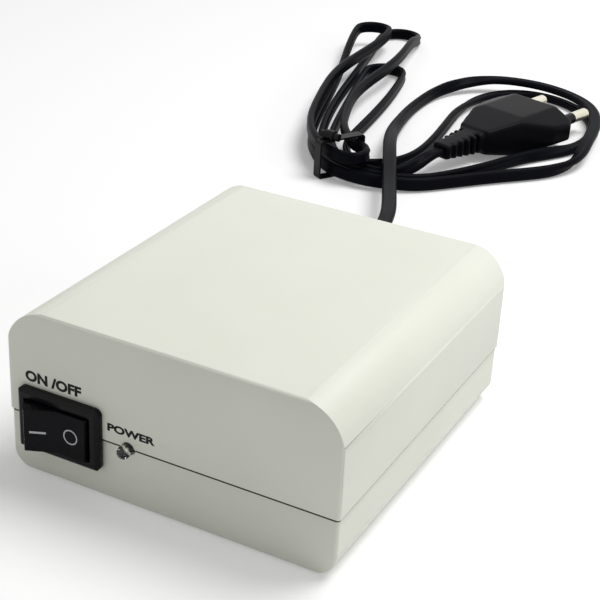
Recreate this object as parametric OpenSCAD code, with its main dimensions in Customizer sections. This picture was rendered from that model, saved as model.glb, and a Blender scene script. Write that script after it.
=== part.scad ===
/* [Case] */
// Overall width of the case
case_w = 80; // [76:0.5:90]
// Overall depth of the case
case_d = 85; // [82:0.5:95]
// Overall height of the case
case_h = 39.3; // [37:0.1:46]
// Height of the seam between the two shells
seam_h = 14.1; // [13.6:0.1:14.6]
// Radius of the two long upper edges
top_r = 10; // [6:0.5:11]
// Radius of the two long lower edges
bottom_r = 5.6; // [3:0.2:6.4]
// Small radius round the front and rear faces
edge_r = 0.8; // [0.4:0.1:1.2]
// Thickness of the shell walls
wall = 2.2; // [1.8:0.1:2.6]
// How far the lower shell stands in from the upper one
set_in = 0.3; // [0.2:0.05:0.5]
// Height of the shadow groove above and below the seam
groove_h = 0.3; // [0.2:0.05:0.4]
// Depth of the shadow groove
groove_depth = 0.6; // [0.4:0.1:1]
// Height of the locating lip above the seam
lip_h = 1.6; // [1:0.1:2]
// Thickness of the locating lip
lip_t = 1; // [0.8:0.1:1.4]

/* [Case screws] */
// Distance of the screws from the side faces
screw_side = 8.6; // [8.5:0.1:8.8]
// Distance of the front pair of screws from the front face
screw_front = 29.5; // [28.5:0.5:30.5]
// Distance of the rear pair of screws from the rear face
screw_back = 8.5; // [8:0.1:9]
// Radius of the screws' heads
head_r = 2.5; // [2.2:0.1:2.6]
// Depth of the wells that the heads sit in
well_depth = 7.5; // [6:0.5:9]

/* [Power switch] */
// Distance of the switch's centre from the left side of the case
switch_side = 13.8; // [13.6:0.1:14.2]
// Width of the bezel
bezel_w = 21; // [20.5:0.1:22]
// Height of the bezel
bezel_h = 15; // [14.5:0.1:16]
// How far the bezel stands out of the front face
bezel_t = 2; // [1.6:0.1:2.4]
// Width of the switch's body behind the bezel
housing_w = 19; // [18.8:0.1:19.4]
// Height of the switch's body
housing_h = 12.7; // [12.5:0.1:13]
// Depth of the switch's body behind the front face
housing_depth = 14; // [13.5:0.1:15]
// Radius of the rocker's curved ends about its pivot
rocker_r = 8.2; // [8:0.05:8.25]
// Angle that the rocker leans to each side
rock_angle = 12; // [10:0.5:12.5]
// How far the middle of the rocker stands proud of the bezel
rocker_proud = 0.8; // [0.4:0.1:1.2]

/* [Power light] */
// Distance of the power light from the left side of the case
led_side = 30.6; // [29.5:0.1:32]
// Radius of the light's lens
led_r = 1.5; // [1.4:0.05:1.6]
// How far the lens stands out of the front face
led_out = 3; // [2:0.1:3.5]

/* [Rear sockets] */
// Distance of the first sound and picture socket from the left side
av_side = 38.5; // [38.3:0.1:38.7]
// Distance between the two sound and picture sockets
av_pitch = 11; // [10.5:0.1:11]
// Outer radius of their barrels
av_r = 4.15; // [4:0.05:4.2]
// How far the barrels stand out of the rear face
av_out = 9; // [7:0.5:10]
// Distance of the aerial output from the left side
rf_side = 60.6; // [60.3:0.1:60.9]
// Outer radius of the aerial output's barrel
rf_r = 4.75; // [4.6:0.05:4.8]
// How far the aerial output stands out of the rear face
rf_out = 9; // [7:0.5:10]

/* [Circuit board] */
// Height of the board's underside above the table
board_z = 4.5; // [4.3:0.1:5]
// Thickness of the board
board_t = 1.6; // [1.2:0.1:2]
// Gap between the board's outline and the case's inside
board_gap = 0.8; // [0.6:0.1:1]

/* [Mains cord] */
// Width of the flat twin lead
cord_w = 4.6; // [4.4:0.1:4.7]
// Thickness of the flat twin lead
cord_t = 2.6; // [2.4:0.1:2.7]
// Distance of the cord's exit from the left side of the case
exit_side = 28; // [27.8:0.1:28.2]
// Length of the strain relief behind the case
relief_l = 24; // [20:1:30]

/* [Mains plug] */
// Width of the plug across its pins
plug_w = 35.2; // [34:0.2:36]
// Thickness of the plug at its middle
plug_t = 13.6; // [13:0.2:14]
// Length of the plug's body
plug_l = 36; // [34:1:40]
// Length of the plug's strain relief
tail_l = 18; // [16:1:22]
// Length of the pins
pin_l = 19; // [18.5:0.1:19.5]
// Radius of the pins
pin_r = 2; // [1.95:0.01:2.05]
// Distance between the pins
pin_pitch = 18.6; // [18:0.1:19]
// Length of the insulating sleeve on each pin
sleeve_l = 10; // [9:0.5:11]

/* [Hidden] */
$fn = 32;
fine = 64;
// one overrun for every cut and one small gap for every seat
over = 1;
seat = 0.05;
front = -case_d / 2;
rear = case_d / 2;
// clearance of the locating lip
lip_gap = 0.15;
// screws: shank, thread core, their holes and the bosses
shank_r = 1.45;
shank_hole_r = 1.6;
core_r = 1.05;
pilot_r = 1.15;
head_h = 1.8;
well_gap = 0.2;
lower_boss_r = 3.9;
upper_boss_r = 3;
core_l = 9;
cross_w = 0.7;
cross_l = 3;
cross_depth = 1;
boss_share = 0.75;
screw_x = case_w / 2 - screw_side;
screw_ys = [front + screw_front, rear - screw_back];
// switch: places and the small sizes of its pieces
switch_x = -case_w / 2 + switch_side;
cut_gap = 0.1;
bezel_bevel = 0.9;
bezel_corner_r = 1.6;
rocker_gap = 0.2;
rocker_h = 10.2;
mouth_w = 2 * (rocker_r + rocker_gap);
mouth_h = rocker_h + 2 * rocker_gap;
pivot_depth = 2.2;
pivot_y = front - bezel_t + pivot_depth;
rocker_skirt = 2.6;
rocker_wall = 1.2;
axle_r = 1;
axle_gap = 0.08;
axle_l = 0.95;
stem_r = 1.9;
stem_l = 6;
plunger_r = 1.1;
plunger_gap = 0.05;
plunger_reach = 9;
plunger_tip_r = 0.7;
plunger_l = 3.8;
housing_back = 1.5;
barb_out = 0.8;
barb_l = 4;
barb_w = 5;
arm_depth = 10.3;
arm_l = 11;
arm_t = 0.5;
arm_w = 4;
arm_angle = 7;
arm_gap = 0.25;
fulcrum_r = 0.4;
blade_w = 4.8;
blade_t = 0.8;
blade_l = 8;
blade_x = 5;
lug_w = 6.4;
lug_t = 2.8;
lug_l = 9;
// power light
led_x = -case_w / 2 + led_side;
led_gap = 0.1;
led_flange_r = 1.9;
led_flange_t = 1;
leg_t = 0.5;
leg_pitch = 2.54;
leg_run = 5;
// board
board_side = 12.9;
board_ahead = 4.3;
board_back = 26.9;
board_half = case_w / 2 - board_side;
board_front = front + wall + board_ahead;
board_step = front + board_back;
board_rear = rear - wall - board_gap;
tongue_x = -13;
board_top = board_z + board_t;
post_r = 2.4;
post_hole_r = 1.2;
board_hole_r = 1.5;
board_head_r = 2.3;
board_head_h = 1.4;
post_in = 2.9;
post_x = board_half - post_in;
post_back = 3.5;
post_ahead = 3;
post_mid = 6.6;
post_places = [[-post_x, board_step + post_ahead], [post_x, board_front + post_ahead],
    [-post_x, board_rear - post_back], [post_x, post_mid]];
// transformer
core_w = 26;
core_h = 24;
core_t = 12;
limb_w = 8;
yoke = 4;
trafo_x = -13.6;
trafo_y = 1;
bobbin_gap = 0.15;
bobbin_wall = 0.8;
flange_t = 1;
coil_y = 20;
coil_corner_r = 2;
// fuse
fuse_x = 3;
fuse_y = -27;
fuse_r = 2.4;
fuse_l = 20;
cap_l = 5;
cap_t = 0.2;
clip_w = 4;
clip_t = 0.5;
clip_base = 1.4;
clip_in = 7.5;
// diodes
diode_x = 14.5;
diode_pitch = 3.4;
diode_y = -21;
diode_r = 1.35;
diode_l = 5;
diode_lift = 0.3;
lead_r = 0.35;
diode_span = 6.5;
// smoothing capacitors: x, y, radius, height
cap_places = [[8.5, -1.5, 5, 16], [8.5, -13.5, 4, 12]];
cap_groove = 0.4;
cap_base = 1.6;
// regulator and heat sink
sink_x = 20.6;
sink_y = -7.5;
sink_w = 12;
sink_d = 9;
sink_h = 20;
sink_t = 0.9;
fin_count = 5;
fin_t = 1;
reg_w = 10;
reg_t = 4.4;
reg_h = 9;
tab_t = 1.3;
tab_h = 15.5;
reg_lift = 3;
reg_leg_t = 0.7;
reg_leg_pitch = 2.54;
// radio-frequency can
can_t = 0.5;
can_x0 = 1;
can_x1 = 26.5;
can_y0 = 11.5;
can_y1 = 27;
can_h = 16;
lid_gap = 0.1;
lid_skirt = 4;
tab_w = 3;
// sockets
av_x = -case_w / 2 + av_side;
rf_x = -case_w / 2 + rf_side;
hole_gap = 0.25;
av_wall = 0.4;
av_in = 4;
block_side = 5.4;
block_d = 12;
block_h = 13.6;
insulator_wall = 0.6;
insulator_depth = 2;
contact_r = 2.1;
contact_bore_r = 1.6;
rf_wall = 0.5;
rf_nut_r = 5.6;
rf_nut_t = 1.4;
rf_pin_r = 1.17;
// collar at the foot of each barrel
collar_out = 0.7;
collar_t = 0.75;
// wires
wire_r = 0.8;
wire_z = seam_h + 2.6;
// cord, its bushing and its tie
exit_x = -case_w / 2 + exit_side;
bush_w = 8.6;
bush_h = 6.8;
bush_flange = 1;
bush_flange_t = 1.6;
bush_gap = 0.1;
bush_tip_w = 6;
bush_tip_h = 4.2;
rib_count = 5;
rib_depth = 0.6;
rib_w = 1.2;
inner_l = 5;
// plug
plug_at = [-15.9, 226.1];
plug_turn = 16;
plug_z = plug_t / 2 + 0.1;
plug_rim_share = 0.42;
plug_recess = 0.6;
plug_tip_w = 6.6;
plug_tip_h = 5;
pin_core_r = 1.4;
pin_tip_r = 0.9;

// a rectangle with round corners, centred
module round_rect(w, h, r) {
    square([w - 2 * r, h], center = true);
    square([w, h - 2 * r], center = true);
    for (side = [-1, 1])
        for (end = [-1, 1])
            translate([side * (w / 2 - r), end * (h / 2 - r)])
                circle(r = r);
}

// the case's section across its width, from height low to height high
module case_section(w, low, high, low_r, high_r) {
    translate([-w / 2, low + low_r])
        square([w, high - low - low_r - high_r]);
    translate([-w / 2 + low_r, low])
        square([w - 2 * low_r, high - low - high_r]);
    translate([-w / 2 + high_r, low + low_r])
        square([w - 2 * high_r, high - low - low_r]);
    for (side = [-1, 1]) {
        translate([side * (w / 2 - low_r), low + low_r])
            circle(r = low_r, $fn = fine);
        translate([side * (w / 2 - high_r), high - high_r])
            circle(r = high_r, $fn = fine);
    }
}

// a flat shape in X and Z pushed along Y between two places
module along_y(from, to) {
    translate([0, to, 0])
        rotate([90, 0, 0])
            linear_extrude(to - from)
                children();
}

// a flat shape in Y and Z pushed along X, centred
module along_x(l) {
    rotate([90, 0, 90])
        linear_extrude(l, center = true)
            children();
}

// the closed outer form, drawn in on sides and ends
module case_form(inset) {
    intersection() {
        along_y(front + inset, rear - inset)
            case_section(case_w - 2 * inset, 0, case_h, bottom_r, top_r);
        translate([0, 0, -over])
            linear_extrude(case_h + 2 * over)
                round_rect(case_w - 2 * inset, case_d - 2 * inset, edge_r);
        translate([0, 0, case_h / 2])
            along_x(case_w)
                round_rect(case_d - 2 * inset, case_h, edge_r);
    }
}

module case_hollow() {
    along_y(front + wall, rear - wall)
        case_section(case_w - 2 * wall, wall, case_h - wall, bottom_r - wall, top_r - wall);
}

// a rectangular ring between two insets from the case's outline
module outline_ring(inset_out, inset_in, from, to) {
    translate([0, 0, from])
        linear_extrude(to - from)
            difference() {
                square([case_w - 2 * inset_out, case_d - 2 * inset_out], center = true);
                square([case_w - 2 * inset_in, case_d - 2 * inset_in], center = true);
            }
}

// everything that passes through the front and rear walls at the seam
module wall_openings() {
    translate([switch_x, front, seam_h])
        cube([housing_w + 2 * cut_gap, 4 * wall, housing_h + 2 * cut_gap], center = true);
    translate([led_x, front - over, seam_h])
        rotate([-90, 0, 0])
            cylinder(r = led_r + led_gap, h = 2 * wall + over);
    for (i = [0, 1])
        translate([av_x + i * av_pitch, rear + over, seam_h])
            rotate([90, 0, 0])
                cylinder(r = av_r + hole_gap, h = 2 * wall + over);
    translate([rf_x, rear + over, seam_h])
        rotate([90, 0, 0])
            cylinder(r = rf_r + hole_gap, h = 2 * wall + over);
    translate([exit_x, rear, seam_h])
        cube([bush_w + 2 * bush_gap, 4 * wall, bush_h + 2 * bush_gap], center = true);
}

module at_screws() {
    for (side = [-1, 1])
        for (y = screw_ys)
            translate([side * screw_x, y, 0])
                children();
}

module upper_shell() {
    color([0.87, 0.88, 0.85])
        difference() {
            union() {
                difference() {
                    case_form(0);
                    case_hollow();
                    translate([-case_w, -case_d, -over])
                        cube([2 * case_w, 2 * case_d, seam_h + over]);
                    outline_ring(-over, groove_depth, seam_h - over, seam_h + groove_h);
                }
                at_screws()
                    translate([0, 0, seam_h])
                        cylinder(r = upper_boss_r, h = case_h - boss_share * wall - seam_h);
            }
            at_screws()
                translate([0, 0, seam_h - over])
                    cylinder(r = pilot_r, h = core_l + 2 * over);
            wall_openings();
        }
}

module lower_shell() {
    color([0.85, 0.86, 0.82])
        difference() {
            union() {
                difference() {
                    case_form(set_in);
                    case_hollow();
                    translate([-case_w, -case_d, seam_h])
                        cube([2 * case_w, 2 * case_d, case_h]);
                    outline_ring(-over, groove_depth, seam_h - groove_h, seam_h + over);
                }
                outline_ring(wall - lip_gap, wall + lip_gap + lip_t, seam_h - lip_h, seam_h);
                difference() {
                    outline_ring(wall + lip_gap, wall + lip_gap + lip_t, seam_h - over, seam_h + lip_h);
                    at_screws()
                        translate([0, 0, seam_h])
                            cylinder(r = upper_boss_r + lip_gap, h = lip_h + over);
                }
                at_screws()
                    translate([0, 0, wall / 2])
                        cylinder(r = lower_boss_r, h = seam_h - wall / 2);
                for (p = post_places)
                    translate([p[0], p[1], wall / 2])
                        cylinder(r = post_r, h = board_z - wall / 2);
            }
            at_screws() {
                translate([0, 0, -over])
                    cylinder(r = head_r + well_gap, h = well_depth + over);
                cylinder(r = shank_hole_r, h = seam_h + over);
            }
            for (p = post_places)
                translate([p[0], p[1], wall])
                    cylinder(r = post_hole_r, h = board_z);
            wall_openings();
            lip_cut(switch_x - housing_w / 2 - over, led_x + led_flange_r + over, front);
            lip_cut(exit_x - bush_w / 2 - 2 * over, rf_x + rf_nut_r + over, rear);
        }
}

// clears the lip beside the pieces in one end wall
module lip_cut(from, to, end) {
    translate([from, end - sign(end) * (wall + lip_gap + lip_t + over), seam_h - lip_h - over])
        mirror([0, end > 0 ? 0 : 1, 0])
            cube([to - from, lip_t + over + lip_gap, 2 * (lip_h + over)]);
}

module case_screws() {
    color([0.55, 0.56, 0.58])
        at_screws()
            difference() {
                union() {
                    translate([0, 0, well_depth - seat - head_h])
                        cylinder(r = head_r, h = head_h);
                    translate([0, 0, well_depth - head_h])
                        cylinder(r = shank_r, h = seam_h - well_depth + head_h - lip_gap);
                    translate([0, 0, well_depth])
                        cylinder(r = core_r, h = seam_h - well_depth + core_l);
                }
                translate([0, 0, well_depth - seat - head_h])
                    for (turn = [0, 90])
                        rotate([0, 0, turn])
                            cube([cross_l, cross_w, 2 * cross_depth], center = true);
            }
}

// the switch's own frame: X across, Y into the case from the front face
module at_switch() {
    translate([switch_x, front, seam_h])
        children();
}

module switch_housing() {
    color([0.07, 0.07, 0.08])
        at_switch()
            difference() {
                union() {
                    intersection() {
                        along_y(-bezel_t, 0)
                            round_rect(bezel_w, bezel_h, bezel_corner_r);
                        linear_extrude(bezel_h, center = true)
                            bezel_side(bezel_w);
                        rotate([0, 90, 0])
                            linear_extrude(bezel_w, center = true)
                                bezel_side(bezel_h);
                    }
                    along_y(-seat, housing_depth)
                        square([housing_w, housing_h], center = true);
                    for (side = [-1, 1])
                        translate([side * housing_w / 2, wall + seat, 0])
                            scale([side, 1, 1])
                                linear_extrude(barb_w, center = true)
                                    polygon([[-barb_out, 0], [barb_out, 0], [barb_out, barb_l / 4],
                                        [0, barb_l], [-barb_out, barb_l]]);
                }
                along_y(-bezel_t - over, housing_depth - housing_back)
                    square([mouth_w, mouth_h], center = true);
                translate([0, pivot_depth - bezel_t, 0])
                    cylinder(r = axle_r + axle_gap, h = rocker_h + 2 * axle_l + 2 * rocker_gap,
                        center = true);
                for (i = [0, 1])
                    translate([i * blade_x, housing_depth, 0])
                        cube([blade_t + 2 * seat, 4 * housing_back, blade_w + 2 * seat], center = true);
            }
}

// the bezel's bevelled side, drawn with its width across and its height to the front
module bezel_side(w) {
    polygon([[-w / 2, 0], [-w / 2, -bezel_t + bezel_bevel], [-w / 2 + bezel_bevel, -bezel_t],
        [w / 2 - bezel_bevel, -bezel_t], [w / 2, -bezel_t + bezel_bevel], [w / 2, 0]]);
}

// the rocker's section about its pivot, level, with its face towards -Y
module rocker_section(r, top, skirt) {
    lean = tan(rock_angle);
    intersection() {
        circle(r = r, $fn = fine);
        polygon([[0, -top], [2 * r, -top - 2 * r * lean], [2 * r, skirt],
            [-2 * r, skirt], [-2 * r, -top - 2 * r * lean]]);
    }
}

module at_rocker() {
    at_switch()
        translate([0, pivot_depth - bezel_t, 0])
            rotate([0, 0, rock_angle])
                children();
}

module switch_rocker() {
    top = pivot_depth + rocker_proud;
    color([0.05, 0.05, 0.06])
        at_rocker()
            difference() {
                union() {
                    difference() {
                        linear_extrude(rocker_h, center = true)
                            rocker_section(rocker_r, top, rocker_skirt);
                        linear_extrude(rocker_h - 2 * rocker_wall, center = true)
                            rocker_section(rocker_r - rocker_wall, top - rocker_wall,
                                rocker_skirt + over);
                    }
                    translate([0, -rocker_wall, 0])
                        rotate([-90, 0, 0])
                            cylinder(r = stem_r, h = stem_l + rocker_wall);
                    for (side = [-1, 1])
                        translate([0, 0, side * (rocker_h - rocker_wall) / 2])
                            cylinder(r = stem_r, h = rocker_wall, center = true);
                    cylinder(r = axle_r, h = rocker_h + 2 * axle_l, center = true);
                }
                rotate([-90, 0, 0])
                    translate([0, 0, axle_r])
                        cylinder(r = plunger_r + plunger_gap, h = stem_l + over);
            }
}

module rocker_plunger() {
    color([0.8, 0.8, 0.76])
        at_rocker()
            rotate([-90, 0, 0]) {
                translate([0, 0, plunger_reach - plunger_l])
                    cylinder(r = plunger_r, h = plunger_l - plunger_tip_r);
                translate([0, 0, plunger_reach - plunger_tip_r])
                    cylinder(r = plunger_tip_r, h = plunger_tip_r);
                translate([0, 0, plunger_reach])
                    sphere(r = plunger_tip_r);
            }
}

module contact_arm() {
    color([0.8, 0.6, 0.3])
        at_switch()
            translate([0, pivot_depth - bezel_t + arm_depth, 0])
                rotate([0, 0, -arm_angle]) {
                    cube([arm_l, arm_t, arm_w], center = true);
                    intersection() {
                        cylinder(r = fulcrum_r, h = arm_w, center = true);
                        translate([0, fulcrum_r, 0])
                            cube([2 * fulcrum_r, 2 * fulcrum_r, arm_w], center = true);
                    }
                    translate([(arm_l - arm_w / 2) / 2, arm_t / 2, 0])
                        cube([arm_w / 2, arm_t / 2, arm_w / 2], center = true);
                }
}

module switch_terminals() {
    inside = housing_depth - housing_back;
    arm_y = pivot_depth - bezel_t + arm_depth;
    reach = sin(arm_angle) * arm_l / 2 + arm_t;
    color([0.78, 0.76, 0.68])
        at_switch() {
            translate([-blade_t / 2, arm_y + arm_t / 2 + arm_gap, -blade_w / 2])
                cube([blade_t, housing_depth - arm_y + blade_l - arm_t / 2 - arm_gap, blade_w]);
            translate([blade_x - blade_t / 2, arm_y + reach + arm_gap, -blade_w / 2])
                cube([blade_t, housing_depth - arm_y - reach + blade_l - arm_gap, blade_w]);
        }
}

module terminal_lugs() {
    color([0.15, 0.15, 0.5])
        at_switch()
            for (i = [0, 1])
                translate([i * blade_x, housing_depth + seat, 0])
                    difference() {
                        along_y(0, lug_l)
                            round_rect(lug_t, lug_w, lug_t / 4);
                        translate([0, (blade_l - seat) / 2, 0])
                            cube([blade_t + 2 * seat, blade_l + over, blade_w + 2 * seat], center = true);
                    }
}

module power_led() {
    color([0.75, 0.77, 0.75])
        translate([led_x, front, seam_h])
            rotate([90, 0, 0]) {
                translate([0, 0, -wall - seat])
                    cylinder(r = led_r, h = led_out + wall + seat - led_r);
                translate([0, 0, led_out - led_r])
                    sphere(r = led_r);
                translate([0, 0, -wall - seat - led_flange_t])
                    cylinder(r = led_flange_r, h = led_flange_t);
            }
}

module led_legs() {
    back = front + wall + 2 * seat + led_flange_t;
    color([0.7, 0.7, 0.68])
        for (side = [-1, 1])
            translate([led_x + side * leg_pitch / 2, back, seam_h]) {
                translate([-leg_t / 2, 0, -leg_t / 2])
                    cube([leg_t, leg_run, leg_t]);
                translate([-leg_t / 2, leg_run - leg_t, board_top + seat - seam_h])
                    cube([leg_t, leg_t, seam_h - board_top - seat + leg_t / 2]);
            }
}

module circuit_board() {
    color([0.2, 0.42, 0.24])
        difference() {
            translate([0, 0, board_z])
                linear_extrude(board_t)
                    polygon([[tongue_x, board_front], [board_half, board_front], [board_half, board_rear],
                        [-board_half, board_rear], [-board_half, board_step], [tongue_x, board_step]]);
            for (p = post_places)
                translate([p[0], p[1], board_z - over])
                    cylinder(r = board_hole_r, h = board_t + 2 * over);
        }
}

module board_screws() {
    color([0.6, 0.6, 0.62])
        for (p = post_places)
            translate([p[0], p[1], 0])
                difference() {
                    union() {
                        translate([0, 0, board_top + seat])
                            cylinder(r = board_head_r, h = board_head_h);
                        translate([0, 0, wall + 2 * seat])
                            cylinder(r = post_hole_r - seat, h = board_top + seat - wall);
                    }
                    translate([0, 0, board_top + board_head_h])
                        for (turn = [0, 90])
                            rotate([0, 0, turn])
                                cube([cross_l, cross_w, cross_depth], center = true);
                }
}

module at_transformer() {
    translate([trafo_x, trafo_y, board_top + seat])
        children();
}

module transformer_core() {
    window_w = (core_w - limb_w) / 2 - yoke;
    color([0.32, 0.33, 0.35])
        at_transformer()
            difference() {
                translate([-core_w / 2, -core_t / 2, 0])
                    cube([core_w, core_t, core_h]);
                for (side = [-1, 1])
                    translate([side * (limb_w + window_w) / 2, 0, core_h / 2])
                        cube([window_w, core_t + over, core_h - 2 * yoke], center = true);
            }
}

module bobbin_ring(x, y, h) {
    linear_extrude(h)
        difference() {
            square([x, y], center = true);
            square([limb_w + 2 * bobbin_gap, core_t + 2 * bobbin_gap], center = true);
        }
}

module transformer_bobbin() {
    window_w = (core_w - limb_w) / 2 - yoke;
    high = core_h - 2 * yoke - 2 * bobbin_gap;
    across = limb_w + 2 * window_w - 2 * bobbin_gap;
    color([0.86, 0.84, 0.76])
        at_transformer()
            translate([0, 0, yoke + bobbin_gap]) {
                bobbin_ring(across, coil_y, flange_t);
                translate([0, 0, high - flange_t])
                    bobbin_ring(across, coil_y, flange_t);
                bobbin_ring(limb_w + 2 * bobbin_gap + 2 * bobbin_wall,
                    core_t + 2 * bobbin_gap + 2 * bobbin_wall, high);
            }
}

module transformer_winding() {
    window_w = (core_w - limb_w) / 2 - yoke;
    high = core_h - 2 * yoke - 2 * bobbin_gap;
    across = limb_w + 2 * window_w - 4 * bobbin_gap;
    color([0.72, 0.38, 0.16])
        at_transformer()
            translate([0, 0, yoke + bobbin_gap + flange_t + seat])
                linear_extrude(high - 2 * flange_t - 2 * seat)
                    difference() {
                        round_rect(across, coil_y - 2 * bobbin_gap, coil_corner_r);
                        square([limb_w + 2 * bobbin_gap + 2 * bobbin_wall + 2 * seat,
                            core_t + 2 * bobbin_gap + 2 * bobbin_wall + 2 * seat], center = true);
                    }
}

module at_fuse() {
    translate([fuse_x, fuse_y, board_top + clip_base + fuse_r + cap_t + seat])
        children();
}

module fuse() {
    color([0.75, 0.85, 0.85, 0.5])
        at_fuse()
            rotate([0, 90, 0])
                cylinder(r = fuse_r, h = fuse_l - 2 * cap_t - 2 * seat, center = true);
}

module fuse_caps() {
    color([0.8, 0.8, 0.78])
        at_fuse()
            for (side = [-1, 1])
                scale([side, 1, 1])
                    rotate([0, 90, 0])
                        difference() {
                            translate([0, 0, fuse_l / 2 - cap_l])
                                cylinder(r = fuse_r + cap_t + seat, h = cap_l);
                            translate([0, 0, fuse_l / 2 - cap_l - over])
                                cylinder(r = fuse_r + seat, h = cap_l + over - cap_t);
                        }
}

module fuse_clips() {
    r = fuse_r + cap_t + 2 * seat;
    color([0.8, 0.7, 0.4])
        at_fuse()
            for (side = [-1, 1])
                translate([side * clip_in, 0, 0])
                    difference() {
                        union() {
                            rotate([0, 90, 0])
                                cylinder(r = r + clip_t, h = clip_w, center = true);
                            translate([-clip_w / 2, -r / 2, -r - clip_base + 2 * seat])
                                cube([clip_w, r, clip_base + r / 2 - 2 * seat]);
                        }
                        rotate([0, 90, 0])
                            cylinder(r = r, h = clip_w + over, center = true);
                        translate([0, 0, r])
                            cube([clip_w + over, r, 2 * r], center = true);
                    }
}

// a two-ended part lying on the board, its leads bent down
module axial_part(r, l, span, lift) {
    rotate([90, 0, 0])
        translate([0, lift + r, 0])
            cylinder(r = r, h = l, center = true);
    translate([0, 0, lift + r])
        rotate([90, 0, 0])
            cylinder(r = lead_r, h = span + 2 * lead_r, center = true);
    for (end = [-1, 1])
        translate([0, end * span / 2, seat])
            cylinder(r = lead_r, h = lift + r - seat);
}

module rectifier_diodes() {
    color([0.12, 0.12, 0.12])
        for (i = [0:3])
            translate([diode_x + i * diode_pitch, diode_y, board_top])
                axial_part(diode_r, diode_l, diode_span, diode_lift);
}

module capacitors() {
    color([0.15, 0.17, 0.35])
        for (c = cap_places)
            translate([c[0], c[1], board_top + seat])
                rotate_extrude()
                    polygon([[0, 0], [c[2], 0], [c[2], cap_base], [c[2] - cap_groove, cap_base + cap_groove],
                        [c[2] - cap_groove, cap_base + 2 * cap_groove], [c[2], cap_base + 3 * cap_groove],
                        [c[2], c[3] - cap_groove], [c[2] - cap_groove, c[3]], [0, c[3]]]);
}

module voltage_regulator() {
    color([0.1, 0.1, 0.1])
        translate([sink_x, sink_y - sink_d / 2 + sink_t + seat, board_top + reg_lift]) {
            translate([-reg_w / 2, 0, 0])
                cube([reg_w, reg_t, reg_h]);
            translate([-reg_w / 2, 0, 0])
                cube([reg_w, tab_t, tab_h]);
            for (i = [-1:1])
                translate([i * reg_leg_pitch - reg_leg_t / 2, reg_t / 2, seat - reg_lift])
                    cube([reg_leg_t, reg_leg_t, reg_lift]);
        }
}

module heat_sink() {
    pitch = (sink_w - fin_t) / (fin_count - 1);
    color([0.62, 0.63, 0.65])
        translate([sink_x - sink_w / 2, sink_y - sink_d / 2, board_top + seat]) {
            cube([sink_w, sink_t, sink_h]);
            for (side = [0, 1])
                translate([side * (sink_w - sink_t), 0, 0])
                    cube([sink_t, sink_d, sink_h]);
            for (i = [0:fin_count - 1])
                translate([i * pitch, -sink_t, 0])
                    cube([fin_t, 2 * sink_t, sink_h]);
        }
}

module rf_can() {
    color([0.74, 0.75, 0.76])
        difference() {
            translate([can_x0, can_y0, board_top + seat])
                cube([can_x1 - can_x0, can_y1 - can_y0, can_h]);
            translate([can_x0 + can_t, can_y0 + can_t, board_top + seat - over])
                cube([can_x1 - can_x0 - 2 * can_t, can_y1 - can_y0 - 2 * can_t, can_h + 2 * over]);
            translate([rf_x, can_y1 + over, seam_h])
                rotate([90, 0, 0])
                    cylinder(r = rf_pin_r + can_t, h = can_t + 2 * over);
        }
}

module rf_can_lid() {
    out = lid_gap + can_t;
    top = board_top + seat + can_h;
    color([0.7, 0.71, 0.72])
        difference() {
            translate([can_x0 - out, can_y0 - out, top - lid_skirt])
                cube([can_x1 - can_x0 + 2 * out, can_y1 - can_y0 + 2 * out, lid_skirt + can_t + seat]);
            translate([can_x0 - lid_gap, can_y0 - lid_gap, top - lid_skirt - over])
                cube([can_x1 - can_x0 + 2 * lid_gap, can_y1 - can_y0 + 2 * lid_gap,
                    lid_skirt + over + seat]);
            for (side = [-1, 1])
                translate([(can_x0 + can_x1) / 2 + side * tab_w, can_y0, top - lid_skirt])
                    cube([can_t, 4 * can_t, 2 * lid_skirt - 2 * can_t], center = true);
        }
}

module modulator_chip() {
    chip_w = 10;
    chip_d = 6.4;
    chip_h = 3.4;
    chip_lift = 0.6;
    pin_step = 2.54;
    pin_t = 0.5;
    color([0.1, 0.1, 0.11])
        translate([can_x0 + can_t + chip_w / 2 + over, (can_y0 + can_y1) / 2, board_top])
            difference() {
                union() {
                    translate([-chip_w / 2, -chip_d / 2, chip_lift])
                        cube([chip_w, chip_d, chip_h]);
                    for (side = [-1, 1])
                        for (i = [-1:2])
                            translate([(i - 1 / 2) * pin_step, side * chip_d / 2, seat + chip_lift])
                                cube([pin_t, 2 * pin_t, 2 * chip_lift], center = true);
                }
                translate([-chip_w / 2, 0, chip_lift + chip_h])
                    sphere(r = pin_t);
            }
}

module crystal() {
    can_long = 6.6;
    can_round = 2.1;
    can_high = 3.6;
    color([0.78, 0.78, 0.76])
        translate([can_x1 - can_t - can_long, can_y0 + can_t + can_round + over, board_top + seat]) {
            linear_extrude(can_high) {
                square([can_long, 2 * can_round], center = true);
                for (side = [-1, 1])
                    translate([side * can_long / 2, 0])
                        circle(r = can_round);
            }
        }
}

module tuning_coil() {
    coil_r = 2.4;
    coil_h = 6;
    former_r = 1.6;
    former_h = 9;
    slug_r = 1;
    color([0.75, 0.45, 0.2])
        translate([can_x1 - can_t - coil_r - 3 * over, can_y1 - can_t - coil_r - 2 * over, board_top + seat])
            difference() {
                union() {
                    cylinder(r = coil_r, h = coil_h);
                    cylinder(r = former_r, h = former_h);
                }
                translate([0, 0, coil_h])
                    cylinder(r = slug_r, h = former_h);
            }
}

// a rear barrel's own frame: Z runs back out of the rear face
module at_barrel(x) {
    translate([x, rear, seam_h])
        rotate([-90, 0, 0])
            children();
}

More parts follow.
